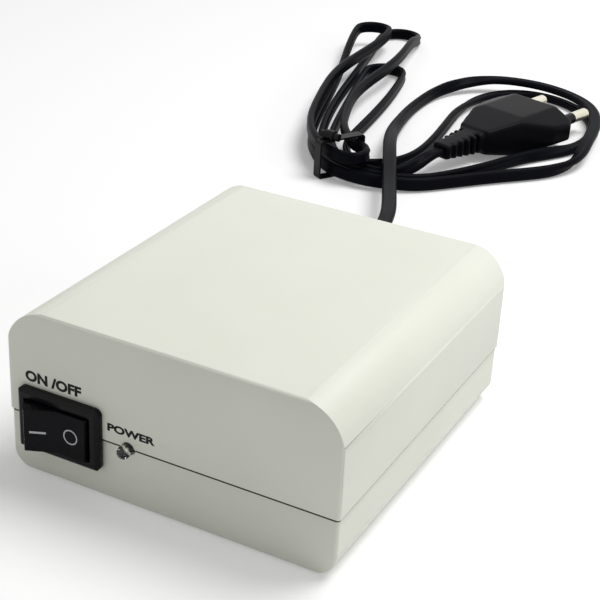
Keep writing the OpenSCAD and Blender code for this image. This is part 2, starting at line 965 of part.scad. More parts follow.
module rf_output_socket() {
    back = can_y1 + lid_gap + can_t + 2 * seat - rear;
    color([0.78, 0.79, 0.8])
        at_barrel(rf_x)
            difference() {
                union() {
                    translate([0, 0, back])
                        cylinder(r = rf_r - seat, h = over - back);
                    cylinder(r = rf_r, h = rf_out);
                    translate([0, 0, seat])
                        cylinder(r = rf_r + collar_out, h = collar_t);
                    translate([0, 0, -wall - seat - rf_nut_t])
                        cylinder(r = rf_nut_r, h = rf_nut_t, $fn = 6);
                }
                translate([0, 0, -over])
                    cylinder(r = rf_r - rf_wall, h = rf_out + 2 * over);
                translate([0, 0, back - over])
                    cylinder(r = rf_pin_r + rf_wall, h = rf_out - back);
            }
}

module rf_insulator() {
    back = can_y1 + lid_gap + can_t + 2 * seat - rear;
    color([0.92, 0.92, 0.88])
        at_barrel(rf_x)
            difference() {
                union() {
                    translate([0, 0, back])
                        cylinder(r = rf_pin_r + rf_wall - seat, h = -back);
                    translate([0, 0, -over + seat])
                        cylinder(r = rf_r - rf_wall - seat, h = insulator_depth);
                }
                translate([0, 0, back - over])
                    cylinder(r = rf_pin_r / 2 + seat, h = insulator_depth - back + 2 * over);
            }
}

module rf_contact() {
    back = can_y1 - rear;
    color([0.85, 0.83, 0.75])
        at_barrel(rf_x) {
            translate([0, 0, back - can_t])
                cylinder(r = rf_pin_r / 2, h = insulator_depth - back);
            translate([0, 0, insulator_depth - over + 2 * seat])
                cylinder(r = rf_pin_r, h = rf_out - insulator_depth - rf_pin_r);
            translate([0, 0, rf_out - rf_pin_r - over + 2 * seat])
                sphere(r = rf_pin_r);
        }
}

module av_socket_block() {
    low = board_top + seat;
    color([0.08, 0.08, 0.09])
        difference() {
            translate([av_x - block_side, rear - wall - seat - block_d, low])
                cube([av_pitch + 2 * block_side, block_d, block_h]);
            for (i = [0, 1])
                at_barrel(av_x + i * av_pitch)
                    translate([0, 0, -wall - av_in])
                        cylinder(r = av_r + seat, h = av_in + wall + over);
        }
}

module av_socket_barrels() {
    color([0.8, 0.78, 0.62])
        for (i = [0, 1])
            at_barrel(av_x + i * av_pitch)
                difference() {
                    union() {
                        translate([0, 0, -wall - av_in + seat])
                            cylinder(r = av_r - seat, h = av_in + wall + over);
                        cylinder(r = av_r, h = av_out);
                        translate([0, 0, seat])
                            cylinder(r = av_r + collar_out, h = collar_t);
                    }
                    translate([0, 0, -wall - av_in - over])
                        cylinder(r = av_r - av_wall, h = av_in + wall + av_out + 3 * over);
                }
}

module socket_insulators() {
    color([0.93, 0.92, 0.86])
        for (i = [0, 1])
            at_barrel(av_x + i * av_pitch)
                difference() {
                    union() {
                        translate([0, 0, -wall - av_in + seat])
                            cylinder(r = av_r - av_wall - seat, h = av_in + insulator_depth);
                        translate([0, 0, -wall - av_in + seat])
                            cylinder(r = contact_r + insulator_wall + seat,
                                h = av_in + wall + av_out - insulator_depth);
                    }
                    translate([0, 0, -wall - av_in - over])
                        cylinder(r = contact_r + seat, h = av_in + wall + av_out + over);
                }
}

module socket_contacts() {
    color([0.85, 0.78, 0.5])
        for (i = [0, 1])
            at_barrel(av_x + i * av_pitch)
                difference() {
                    translate([0, 0, -wall - av_in + 2 * seat])
                        cylinder(r = contact_r, h = av_in + wall + av_out - insulator_depth - over);
                    translate([0, 0, 0])
                        cylinder(r = contact_bore_r, h = av_out);
                }
}

module cord_bushing() {
    root_h = bush_h - 2 * bush_flange;
    root_w = bush_w - 2 * bush_flange;
    color([0.06, 0.06, 0.07])
        translate([exit_x, rear, seam_h]) {
            along_y(-wall - seat, seat)
                round_rect(bush_w, bush_h, bush_flange);
            along_y(seat, seat + bush_flange_t)
                round_rect(bush_w + 2 * bush_flange, bush_h + 2 * bush_flange, 2 * bush_flange);
            along_y(-wall - seat - bush_flange_t, -wall - seat)
                round_rect(bush_w + bush_flange, bush_h + 2 * bush_flange, bush_flange);
            difference() {
                intersection() {
                    along_y(0, relief_l)
                        round_rect(bush_w, bush_h, bush_tip_h / 2 - seat);
                    linear_extrude(bush_h, center = true)
                        polygon([[-bush_w / 2, 0], [bush_w / 2, 0], [bush_tip_w / 2, relief_l],
                            [-bush_tip_w / 2, relief_l]]);
                    rotate([0, 90, 0])
                        linear_extrude(bush_w, center = true)
                            polygon([[-bush_h / 2, 0], [bush_h / 2, 0], [bush_tip_h / 2, relief_l],
                                [-bush_tip_h / 2, relief_l]]);
                }
                for (i = [1:rib_count])
                    translate([0, bush_flange_t + i * (relief_l - 2 * bush_flange_t) / (rib_count + 1), 0])
                        for (side = [-1, 1])
                            translate([side * (bush_w / 2 + cord_w / 2) / 2, 0, 0])
                                translate([side * cord_w / 4, 0, 0])
                                    cube([cord_w / 2, rib_w, bush_h], center = true);
            }
        }
}

module cord_inner_end() {
    color([0.05, 0.05, 0.06])
        translate([exit_x, rear - wall - 2 * seat - bush_flange_t, seam_h])
            along_y(-inner_l, 0)
                twin_section();
}

// the flat twin lead's section, lying flat
module twin_section() {
    square([cord_w - cord_t, cord_t * 0.9], center = true);
    for (side = [-1, 1])
        translate([side * (cord_w - cord_t) / 2, 0])
            circle(r = cord_t / 2);
}

// the plug's own frame: the middle of its face, Y towards the pin tips
module at_plug() {
    translate([plug_at[0], plug_at[1], plug_z])
        rotate([0, 0, -plug_turn])
            children();
}

module plug_body() {
    half = plug_w / 2;
    thick = plug_t / 2;
    tip = plug_tip_w / 2;
    color([0.06, 0.06, 0.07])
        at_plug()
            difference() {
                union() {
                    intersection() {
                        linear_extrude(plug_t, center = true)
                            polygon([[-half * 0.9, 0], [half * 0.9, 0], [half, -plug_l * 0.08],
                                [half * 0.93, -plug_l * 0.3], [half * 0.62, -plug_l * 0.62],
                                [half * 0.34, -plug_l], [-half * 0.34, -plug_l],
                                [-half * 0.62, -plug_l * 0.62], [-half * 0.93, -plug_l * 0.3],
                                [-half, -plug_l * 0.08]]);
                        along_y(-plug_l, 0)
                            polygon([[-half, -thick * plug_rim_share], [-half * 0.5, -thick],
                                [half * 0.5, -thick], [half, -thick * plug_rim_share],
                                [half, thick * plug_rim_share], [half * 0.5, thick],
                                [-half * 0.5, thick], [-half, thick * plug_rim_share]]);
                        rotate([0, 90, 0])
                            linear_extrude(plug_w, center = true)
                                polygon([[-thick, 0], [-thick, -plug_l * 0.55], [-thick * 0.62, -plug_l],
                                    [thick * 0.62, -plug_l], [thick, -plug_l * 0.55], [thick, 0]]);
                    }
                    intersection() {
                        along_y(-plug_l - tail_l, -plug_l + over)
                            round_rect(plug_w * 0.3, plug_t * 0.6, plug_tip_h / 2 - seat);
                        linear_extrude(plug_t, center = true)
                            polygon([[-half * 0.3, -plug_l + over], [half * 0.3, -plug_l + over],
                                [tip, -plug_l - tail_l], [-tip, -plug_l - tail_l]]);
                        rotate([0, 90, 0])
                            linear_extrude(plug_w, center = true)
                                polygon([[-thick * 0.56, -plug_l + over], [thick * 0.56, -plug_l + over],
                                    [plug_tip_h / 2, -plug_l - tail_l], [-plug_tip_h / 2, -plug_l - tail_l]]);
                    }
                }
                for (i = [1:rib_count])
                    translate([0, -plug_l - i * tail_l / (rib_count + 1), 0])
                        for (side = [-1, 1])
                            translate([side * (tip + rib_depth), 0, 0])
                                cube([2 * rib_depth + rib_w, rib_w, plug_t], center = true);
            }
}

module at_pins() {
    at_plug()
        for (side = [-1, 1])
            translate([side * pin_pitch / 2, 0, 0])
                rotate([-90, 0, 0])
                    children();
}

module plug_pins() {
    color([0.86, 0.83, 0.72])
        at_pins() {
            translate([0, 0, seat])
                cylinder(r = pin_core_r, h = sleeve_l + seat);
            translate([0, 0, sleeve_l + 2 * seat])
                rotate_extrude()
                    polygon([[0, 0], [pin_r, 0], [pin_r, pin_l - sleeve_l - pin_tip_r],
                        [pin_r - pin_tip_r / 3, pin_l - sleeve_l - pin_tip_r / 3],
                        [pin_r - pin_tip_r, pin_l - sleeve_l - 2 * seat], [0, pin_l - sleeve_l - 2 * seat]]);
        }
}

module pin_sleeves() {
    color([0.05, 0.05, 0.05])
        at_pins()
            difference() {
                translate([0, 0, seat])
                    cylinder(r = pin_r, h = sleeve_l);
                translate([0, 0, -over])
                    cylinder(r = pin_core_r + seat, h = sleeve_l + 3 * over);
            }
}

// the line that the hank's left arm and waist follow, on the floor
spine_points = [[-24, 166], [-33, 156], [-45, 150], [-57, 152], [-66.5, 161], [-74, 174], [-79.5, 189],
    [-85, 206], [-92, 229], [-100, 257], [-108, 287], [-112, 305]];
// the cord's free stretch: place of its middle and how far its wide side stands up, in degrees
lead_points = [[-12, 66.5, 14.1, 0], [-12, 74, 14.1, 0], [-13, 86, 13.4, 0], [-16, 98, 12.3, 0],
    [-20, 110, 11, 0], [-25.5, 122, 10, 0], [-31, 134, 9.3, 0], [-36.5, 146, 9.2, 0], [-42, 158, 9.2, 0],
    [-47.5, 170, 8.2, 0], [-53, 184, 6, 20], [-57.5, 200, 3.6, 50], [-61, 216, 2.5, 80],
    [-62, 232, 2.4, 90], [-61, 245, 2.8, 80], [-56, 256, 3.8, 40], [-48, 264, 4.8, 5],
    [-38, 268, 4.8, 0], [-27, 268.5, 4.8, 0], [-16, 265, 4.8, 0], [-6.5, 258.5, 4.8, 0],
    [-0.5, 249.5, 4.8, 0], [3.5, 239, 4.8, 0], [5.5, 228, 4.8, 0], [7, 217, 4.8, 0], [8.5, 207, 3.8, 20],
    [7.5, 197, 2.6, 60], [2.5, 188, 2.4, 90], [-5, 180, 2.4, 90], [-13, 171.5, 2.4, 90]];
// the loop round the plug
round_points = [[-19.5, 172, 2.4, 90], [-15, 181, 2.4, 90], [-11.5, 190, 2.4, 90], [-7.5, 199, 2.4, 80],
    [-2.5, 207.5, 2.1, 50], [1.8, 215.5, 1.5, 10], [4, 224.5, 1.4, 0], [4, 234, 1.4, 0],
    [1.5, 244, 1.4, 0], [-3, 252.5, 1.4, 0], [-9.5, 259.5, 1.4, 0], [-17.5, 264.5, 1.4, 0],
    [-26.5, 266.5, 1.4, 0], [-35.5, 264.5, 1.4, 0], [-42.5, 257.5, 1.4, 0], [-46, 247, 1.5, 10],
    [-46.5, 235.5, 1.9, 45], [-45.5, 223.5, 2.4, 90], [-43.5, 211, 2.4, 90], [-41.5, 198, 2.4, 90],
    [-40, 185, 2.4, 90], [-40, 173.5, 2.4, 90], [-43.5, 163.5, 2.5, 90]];
// strands at the waist: their spacing, heights, and the hump that lets the tie pass under them
slot_pitch = 3.5;
slot_in = slot_pitch / 2;
slot_out = 1.5 * slot_pitch;
slot_up = 5.8;
row_low = 2.4;
row_high = 8;
waist_at = 40;
waist_lift = 1.2;
waist_half = 26;
loop_start = 44;
loop_steps = 8;
fold_r = 6;
fold_at = 35;
// loops of the left arm: reach, lean, radius, gather, rise, slot out, height out, slot back,
// height back, height at the end, side, how fast it leans
arm_loops = [
    [184, 1, 7.2, 70, 45, slot_out, row_low, slot_up, row_high, row_high, 1, 0],
    [197, -8.5, 8, 88, 24, -slot_up, row_high, slot_in, row_low, row_low, -1, 1.7],
    [146, -11, 7.6, 96, 20, -slot_out, row_low, -slot_in, row_low, row_low, -1, 1]];
ring_parts = 2;
gap_skip = 4;
gap_reach = 9;
tail_back = 13;
tail_mid = 6;
tail_low = 4.6;
tie_t = 0.6;
tie_w = 3.4;
tie_half = 8.3;
tie_low = 0.35;
tie_high = 12.4;
knot_r = 1.3;
knot_l = 7;

function unit(v) = v / norm(v);
function clamp01(t) = min(max(t, 0), 1);
function ease(t) = let (u = clamp01(t)) u * u * (3 - 2 * u);
function bulge(t) = sin(90 * clamp01(t));
function passing(a, b, c, d, t) = (2 * b + (c - a) * t + (2 * a - 5 * b + 4 * c - d) * t * t
    + (3 * b - 3 * c + d - a) * t * t * t) / 2;
function near(a, b, c, d, t) = (pow(1 - t, 3) * a + (3 * pow(t, 3) - 6 * t * t + 4) * b
    + (-3 * pow(t, 3) + 3 * t * t + 3 * t + 1) * c + pow(t, 3) * d) / 6;
function ended(p) = concat([2 * p[0] - p[1]], p, [2 * p[len(p) - 1] - p[len(p) - 2]]);
function passing_line(p, n) = let (q = ended(p))
    concat([for (i = [0:len(p) - 2]) for (k = [0:n - 1]) passing(q[i], q[i + 1], q[i + 2], q[i + 3], k / n)],
        [p[len(p) - 1]]);
function near_line(p, n) = let (q = ended(p))
    concat([for (i = [0:len(p) - 2]) for (k = [0:n - 1]) near(q[i], q[i + 1], q[i + 2], q[i + 3], k / n)],
        [p[len(p) - 1]]);
function run(p) = [for (i = 0, s = 0; i < len(p); s = s + (i + 1 < len(p) ? norm(p[i + 1] - p[i]) : 0),
    i = i + 1) s];

spine = passing_line(spine_points, 8);
spine_run = run(spine);
spine_x = [for (i = [0:len(spine) - 1]) [spine_run[i], spine[i][0]]];
spine_y = [for (i = [0:len(spine) - 1]) [spine_run[i], spine[i][1]]];
spine_l = spine_run[len(spine_run) - 1];

function on_spine(s) = let (c = min(max(s, 0), spine_l), over_by = s - c,
    t = unit([lookup(c + over, spine_x) - lookup(c - over, spine_x),
        lookup(c + over, spine_y) - lookup(c - over, spine_y)]))
    [lookup(c, spine_x) + t[0] * over_by, lookup(c, spine_y) + t[1] * over_by, t[0], t[1]];
// a place beside the spine, its height and how far the cord stands on edge
function beside(s, e, z, turn) = let (p = on_spine(s)) [p[0] - e * p[3], p[1] + e * p[2], z, turn];
function hump(s) = waist_lift * max(0, 1 - pow((s - waist_at) / waist_half, 2));
function lean_at(loop, s) = let (t = (s - loop[0] + loop[3]) / loop[3])
    loop[11] == 0 ? ease(t) : bulge(loop[11] * t);
function arm_run(loop, slot, z, side, steps) = [for (s = steps)
    let (q = lean_at(loop, s), lift = ease((s - loop[0] + loop[4]) / loop[4]))
    beside(s, slot + (loop[1] + side * loop[2] - slot) * q, z + (loop[9] - z) * lift + hump(s), 90)];
function arm_loop(loop) = let (step = (loop[0] - loop_start) / loop_steps)
    concat(arm_run(loop, loop[5], loop[6], loop[10], [for (i = [0:loop_steps]) loop_start + i * step]),
        [for (a = [36:36:144]) beside(loop[0] + loop[2] * sin(a), loop[1] + loop[10] * loop[2] * cos(a),
            loop[9], 90)],
        arm_run(loop, loop[7], loop[8], -loop[10], [for (i = [0:loop_steps]) loop[0] - i * step]));
waist_fold = [for (a = [0:36:180]) let (s = fold_at - fold_r * sin(a))
    beside(s, fold_r * cos(a), row_high + hump(s), 90)];
function slot_run(slot, steps) = [for (s = steps) beside(s, slot, row_low + hump(s), 90)];

plug_dir = [sin(plug_turn), cos(plug_turn)];
function behind_plug(v, z, turn) = [plug_at[0] - v * plug_dir[0], plug_at[1] - v * plug_dir[1], z, turn];
tail_tip = plug_l + tail_l;
free_list = concat(lead_points, slot_run(slot_out, [6, 13, 20, 28, 36]));
hank_list = concat(arm_loop(arm_loops[0]), waist_fold, arm_loop(arm_loops[1]),
    slot_run(slot_in, [36, 28, 20, 12, 4]), round_points, slot_run(-slot_out, [33, 40]),
    arm_loop(arm_loops[2]));
tail_list = concat(slot_run(-slot_in, [36, 28, 20]), [behind_plug(tail_tip + tail_back, tail_low, 60),
    behind_plug(tail_tip + tail_mid, plug_z, 0), behind_plug(tail_tip, plug_z, 0)]);
cord_line = near_line(concat(free_list, hank_list, tail_list), ring_parts);
flat_section = [[1, 0], [0.7, 0.8], [0, 1], [-0.7, 0.8], [-1, 0], [-0.7, -0.8], [0, -1], [0.7, -0.8]];

function direction(p, i) = unit(
    [for (k = [0:2]) p[min(i + 1, len(p) - 1)][k] - p[max(i - 1, 0)][k]]);
// the ring of points round one place on a line, wide across and thick along its second axis
function ring_at(p, i, w, t) = let (d = direction(p, i), a = unit(cross([0, 0, 1], d)), b = cross(d, a),
    c = cos(p[i][3]), s = sin(p[i][3]), wide = a * c + b * s, thin = b * c - a * s)
    [for (q = flat_section) [p[i][0], p[i][1], p[i][2]] + wide * q[0] * w / 2 + thin * q[1] * t / 2];
cord_rings = [for (i = [0:len(cord_line) - 1]) ring_at(cord_line, i, cord_w, cord_t)];
free_end = ring_parts * len(free_list);
hank_end = free_end + ring_parts * len(hank_list);

module sweep(rings) {
    n = len(rings[0]);
    last = len(rings) - 1;
    polyhedron(
        points = [for (r = rings) for (p = r) p],
        faces = concat(
            [for (i = [1:n - 2]) [0, i, i + 1]],
            [for (i = [1:n - 2]) [last * n, last * n + i + 1, last * n + i]],
            [for (k = [0:last - 1]) for (i = [0:n - 1]) [k * n + i, (k + 1) * n + i, (k + 1) * n + (i + 1) % n]],
            [for (k = [0:last - 1]) for (i = [0:n - 1])
                [k * n + i, (k + 1) * n + (i + 1) % n, k * n + (i + 1) % n]]));
}

module part_of_cord(from, to) {
    color([0.07, 0.07, 0.09])
        sweep([for (i = [from:to]) cord_rings[i]]);
}

module cord_lead() {
    part_of_cord(0, free_end);
}

module cord_hank() {
    part_of_cord(free_end, hank_end);
}

module cord_tail() {
    part_of_cord(hank_end, len(cord_rings) - 1);
}

module cord_tie() {
    p = on_spine(waist_at);
    color([0.03, 0.03, 0.03])
        translate([p[0], p[1], 0])
            rotate([0, 0, atan2(p[3], p[2]) + 90]) {
                along_y(-tie_w / 2, tie_w / 2)
                    translate([0, (tie_low + tie_high) / 2])
                        difference() {
                            round_rect(2 * tie_half + 2 * tie_t, tie_high - tie_low + 2 * tie_t, 2 * tie_t);
                            round_rect(2 * tie_half, tie_high - tie_low, tie_t);
                        }
                translate([tie_half / 2, 0, tie_high + knot_r + tie_t / 2])
                    rotate([90, 0, 25]) {
                        cylinder(r = knot_r, h = knot_l, center = true);
                        cylinder(r = knot_r + tie_t, h = tie_w, center = true);
                    }
            }
}

// insulated wires inside the case
inner_y = rear - wall - 3 * seat - bush_flange_t - inner_l;
side_x = -case_w / 2 + wall + 2 * wire_r;
lug_y = front + housing_depth + 2 * seat + lug_l;
core_x = (cord_w - cord_t) / 2;
wire_step = 4;
boss_y = front + screw_front;
live_path = [[exit_x - core_x, inner_y, seam_h, 0], [exit_x - core_x, inner_y - wire_step / 2, seam_h, 0],
    [exit_x - 2 * core_x, inner_y - wire_step, seam_h + wire_r, 0],
    [exit_x - 2 * wire_step, inner_y - 2 * wire_step, wire_z, 0],
    [side_x + 2 * wire_step, inner_y - 3 * wire_step, wire_z, 0],
    [side_x + wire_step / 4, inner_y - 4 * wire_step, wire_z, 0], [side_x, inner_y - 6 * wire_step, wire_z, 0],
    [side_x, boss_y + 4 * wire_step, wire_z, 0], [side_x, boss_y + 3 * wire_step, wire_z, 0],
    [side_x + wire_step / 2, boss_y + 2 * wire_step, wire_z, 0],
    [side_x + 1.5 * wire_step, boss_y + 1.5 * wire_step, wire_z, 0],
    [switch_x - wire_step / 4, boss_y + 1.2 * wire_step, wire_z, 0],
    [switch_x, boss_y, seam_h + wire_r, 0], [switch_x, lug_y + wire_step / 2, seam_h, 0],
    [switch_x, lug_y, seam_h, 0]];
switched_path = [[switch_x + blade_x, lug_y, seam_h, 0],
    [switch_x + blade_x, lug_y + wire_step / 2, seam_h, 0],
    [switch_x + blade_x + wire_r, board_step + wire_step / 2, seam_h - wire_r, 0],
    [switch_x + blade_x + wire_r, board_step + 0.8 * wire_step, (seam_h + board_top) / 2, 0],
    [switch_x + blade_x + wire_r, board_step + 0.9 * wire_step, board_top + wire_step / 4, 0],
    [switch_x + blade_x + wire_r, board_step + 0.9 * wire_step, board_top + seat, 0]];
neutral_path = [[exit_x + core_x, inner_y, seam_h, 0], [exit_x + core_x, inner_y - wire_step / 2, seam_h, 0],
    [exit_x + core_x, inner_y - wire_step, seam_h - wire_r, 0],
    [exit_x + core_x, inner_y - 1.8 * wire_step, (seam_h + board_top) / 2, 0],
    [exit_x + core_x, inner_y - 2 * wire_step, board_top + wire_step / 4, 0],
    [exit_x + core_x, inner_y - 2 * wire_step, board_top + seat, 0]];

function wire_ring(p, i) = let (d = direction(p, i), a = unit(cross([1, 0, 0.2], d)), b = cross(d, a))
    [for (k = [0:45:315]) [p[i][0], p[i][1], p[i][2]] + a * wire_r * cos(k) + b * wire_r * sin(k)];

module wire(path) {
    line = near_line(path, 3);
    sweep([for (i = [0:len(line) - 1]) wire_ring(line, i)]);
}

module live_wire() {
    color([0.45, 0.27, 0.14])
        wire(live_path);
}

module switched_wire() {
    color([0.1, 0.1, 0.1])
        wire(switched_path);
}

module neutral_wire() {
    color([0.15, 0.3, 0.65])
        wire(neutral_path);
}

cord_gap = min([for (i = [0:len(cord_rings) - 1]) for (j = [i + gap_skip:1:len(cord_rings) - 1])
    if (norm(cord_rings[i][0] - cord_rings[j][4]) < gap_reach)
        min([for (a = cord_rings[i]) for (b = cord_rings[j]) norm(a - b)])]);
cord_length = run([for (p = cord_line) [p[0], p[1], p[2]]])[len(cord_line) - 1];
echo("least gap of the cord to itself", cord_gap, "length", cord_length);

upper_shell();
lower_shell();
case_screws();
switch_housing();
switch_rocker();
rocker_plunger();
contact_arm();
switch_terminals();
terminal_lugs();
power_led();
led_legs();
circuit_board();
board_screws();
transformer_core();
transformer_bobbin();
transformer_winding();
fuse();
fuse_caps();
fuse_clips();
rectifier_diodes();
capacitors();
voltage_regulator();
heat_sink();
rf_can();
rf_can_lid();
modulator_chip();
crystal();
tuning_coil();
rf_output_socket();
rf_insulator();
rf_contact();
av_socket_block();
av_socket_barrels();
socket_insulators();
socket_contacts();
live_wire();
switched_wire();
neutral_wire();
cord_inner_end();
cord_bushing();
cord_lead();
cord_hank();
cord_tail();
cord_tie();
plug_body();
plug_pins();
pin_sleeves();
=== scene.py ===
import math
import bpy
import bmesh
from mathutils import Vector, Matrix


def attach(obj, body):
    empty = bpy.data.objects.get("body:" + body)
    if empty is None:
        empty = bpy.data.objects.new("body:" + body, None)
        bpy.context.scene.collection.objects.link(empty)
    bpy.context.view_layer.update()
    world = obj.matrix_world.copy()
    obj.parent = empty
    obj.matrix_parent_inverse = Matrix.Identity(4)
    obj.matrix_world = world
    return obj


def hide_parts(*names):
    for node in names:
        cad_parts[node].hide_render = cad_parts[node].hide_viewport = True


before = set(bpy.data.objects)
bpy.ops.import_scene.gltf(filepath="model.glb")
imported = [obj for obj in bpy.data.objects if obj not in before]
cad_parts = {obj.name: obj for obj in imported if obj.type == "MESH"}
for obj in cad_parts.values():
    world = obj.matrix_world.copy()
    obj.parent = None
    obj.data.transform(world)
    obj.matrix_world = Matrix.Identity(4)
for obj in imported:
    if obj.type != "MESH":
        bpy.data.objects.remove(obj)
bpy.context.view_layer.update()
mm = 0.001
scene = bpy.context.scene
print("frame loaded")

# camera: solved from the case's edges in the photograph, in degrees, millimetres and pixels
cameraView = {"azimuth": 26.72, "elevation": 26.86, "roll": 3.06, "place": (134.3, -252.1, 178.5),
              "focal": 1436.7, "pixels": 600, "sensor": 36, "clip": (0.01, 50)}


def makeCamera(v):
    az, el, roll = (math.radians(v[k]) for k in ("azimuth", "elevation", "roll"))
    back = Vector((math.sin(az) * math.cos(el), -math.cos(az) * math.cos(el), math.sin(el)))
    right = Vector((math.cos(az), math.sin(az), 0))
    up = back.cross(right)
    r = math.cos(roll) * right + math.sin(roll) * up
    u = -math.sin(roll) * right + math.cos(roll) * up
    data = bpy.data.cameras.new("viewCamera")
    data.sensor_width = v["sensor"]
    data.lens = v["sensor"] * v["focal"] / v["pixels"]
    data.clip_start, data.clip_end = v["clip"]
    cam = bpy.data.objects.new("viewCamera", data)
    scene.collection.objects.link(cam)
    m = Matrix((r, u, back)).transposed().to_4x4()
    m.translation = Vector(v["place"]) * mm
    cam.matrix_world = m
    scene.camera = cam


makeCamera(cameraView)

# mains cord: a flat twin lead that runs from the case, round the plug, and is folded and tied
# parts is how many points lie between two of the route; pitch, low and high are the slots of the tied
# strands; lift and half shape the rise through the tie at waist; angles are in degrees
cordSizes = {"width": 4.6, "thickness": 2.6, "parts": 5, "pitch": 3.5, "low": 2.4, "high": 8.0,
             "waist": 40, "lift": 1.2, "half": 26, "fold": 6.0, "foldAt": 35, "foldStep": 36,
             "plug": (-15.9, 226.1), "turn": 16, "plugHeight": 6.9,
             "plugEntry": (67, 4.6, 60), "plugRun": (60, 54)}
# the bundle's middle line: x and y
spinePoints = [(-24, 166), (-33, 156), (-45, 150), (-57, 152), (-66.5, 161), (-74, 174), (-79.5, 189),
               (-85, 206), (-92, 229), (-100, 257), (-108, 287), (-112, 305)]
# the lead from the case to the bundle, and the round from the bundle about the plug: x, y, z and twist
leadPoints = [(-12, 66.5, 14.1, 0), (-12, 74, 14.1, 0), (-13, 86, 13.4, 0), (-16, 98, 12.3, 0),
              (-20, 110, 11, 0), (-25.5, 122, 10, 0), (-31, 134, 9.3, 0), (-36.5, 146, 9.2, 0),
              (-42, 158, 9.2, 0),
              (-47.5, 170, 8.2, 0), (-53, 184, 6, 20), (-57.5, 200, 3.6, 50), (-61, 216, 2.5, 80),
              (-62, 232, 2.4, 90), (-61, 245, 2.8, 80), (-56, 256, 3.8, 40), (-48, 264, 4.8, 5),
              (-38, 268, 4.8, 0), (-27, 268.5, 4.8, 0), (-16, 265, 4.8, 0), (-6.5, 258.5, 4.8, 0),
              (-0.5, 249.5, 4.8, 0), (3.5, 239, 4.8, 0), (5.5, 228, 4.8, 0), (7, 217, 4.8, 0),
              (8.5, 207, 3.8, 20),
              (7.5, 197, 2.6, 60), (2.5, 188, 2.4, 90), (-5, 180, 2.4, 90), (-13, 171.5, 2.4, 90)]
roundPoints = [(-19.5, 172, 2.4, 90), (-15, 181, 2.4, 90), (-11.5, 190, 2.4, 90), (-7.5, 199, 2.4, 80),
               (-2.5, 207.5, 2.1, 50), (1.8, 215.5, 1.5, 10), (4, 224.5, 1.4, 0), (4, 234, 1.4, 0),
               (1.5, 244, 1.4, 0), (-3, 252.5, 1.4, 0), (-9.5, 259.5, 1.4, 0), (-17.5, 264.5, 1.4, 0),
               (-26.5, 266.5, 1.4, 0), (-35.5, 264.5, 1.4, 0), (-42.5, 257.5, 1.4, 0), (-46, 247, 1.5, 10),
               (-46.5, 235.5, 1.9, 45), (-45.5, 223.5, 2.4, 90), (-43.5, 211, 2.4, 90), (-41.5, 198, 2.4, 90),
               (-40, 185, 2.4, 90), (-40, 173.5, 2.4, 90), (-43.5, 163.5, 2.5, 90)]
slotIn, slotOut = cordSizes["pitch"] / 2, 1.5 * cordSizes["pitch"]
# where the straight runs through the tie are held, along the spine
tieStops = {"first": (6, 13, 20, 28, 36), "second": (36, 28, 20, 12, 4),
            "third": (33, 40), "last": (36, 28, 20)}
loopKeys = ("reach", "lean", "radius", "gather", "rise", "slotOut", "heightOut", "slotBack", "heightBack",
            "tipHeight", "side", "haste")
armLoops = [dict(zip(loopKeys, row)) for row in (
    (184, 1, 7.2, 70, 45, slotOut, 2.4, 5.8, 8.0, 8.0, 1, 0),
    (197, -8.5, 8, 88, 24, -5.8, 8.0, slotIn, 2.4, 2.4, -1, 1.7),
    (146, -11, 7.6, 96, 20, -slotOut, 2.4, -slotIn, 2.4, 2.4, -1, 1))]


def ended(p):
    return [2 * p[0] - p[1]] + p + [2 * p[-1] - p[-2]]


def spline(points, n, through):
    # n steps a span: a Catmull-Rom line through the points, or a uniform B-spline near them
    p = [Vector(q) for q in points]
    q, out = ended(p), []
    for i in range(len(p) - 1):
        a, b, c, d = q[i:i + 4]
        for k in range(n):
            t = k / n
            if through:
                out.append((2 * b + (c - a) * t + (2 * a - 5 * b + 4 * c - d) * t * t
                            + (3 * b - 3 * c + d - a) * t ** 3) / 2)
            else:
                out.append(((1 - t) ** 3 * a + (3 * t ** 3 - 6 * t * t + 4) * b
                            + (-3 * t ** 3 + 3 * t * t + 3 * t + 1) * c + t ** 3 * d) / 6)
    return out + [p[-1]]


spineLine = spline(spinePoints, 8, True)
spineRun = [0]
for first, second in zip(spineLine, spineLine[1:]):
    spineRun.append(spineRun[-1] + (second - first).length)


def lookUp(s):
    for i in range(len(spineRun) - 1):
        if s <= spineRun[i + 1]:
            share = max(0, s - spineRun[i]) / (spineRun[i + 1] - spineRun[i])
            return spineLine[i].lerp(spineLine[i + 1], share)
    return spineLine[-1]


def beside(s, e, z, turn):
    c = min(max(s, 0), spineRun[-1])
    t = (lookUp(c + 1) - lookUp(c - 1)).normalized()
    p = lookUp(c) + t * (s - c)
    return (p.x - e * t.y, p.y + e * t.x, z, turn)


def clamp01(t):
    return min(max(t, 0), 1)


def ease(t):
    t = clamp01(t)
    return t * t * (3 - 2 * t)


def hump(s):
    return cordSizes["lift"] * max(0, 1 - ((s - cordSizes["waist"]) / cordSizes["half"]) ** 2)


def armRun(loop, slot, z, side, steps):
    # one arm of a loop: from its slot in the tie out towards its bend
    out = []
    for s in steps:
        t = (s - loop["reach"] + loop["gather"]) / loop["gather"]
        q = ease(t) if loop["haste"] == 0 else math.sin(math.radians(90 * clamp01(loop["haste"] * t)))
        lift = ease((s - loop["reach"] + loop["rise"]) / loop["rise"])
        across = slot + (loop["lean"] + side * loop["radius"] - slot) * q
        out.append(beside(s, across, z + (loop["tipHeight"] - z) * lift + hump(s), 90))
    return out


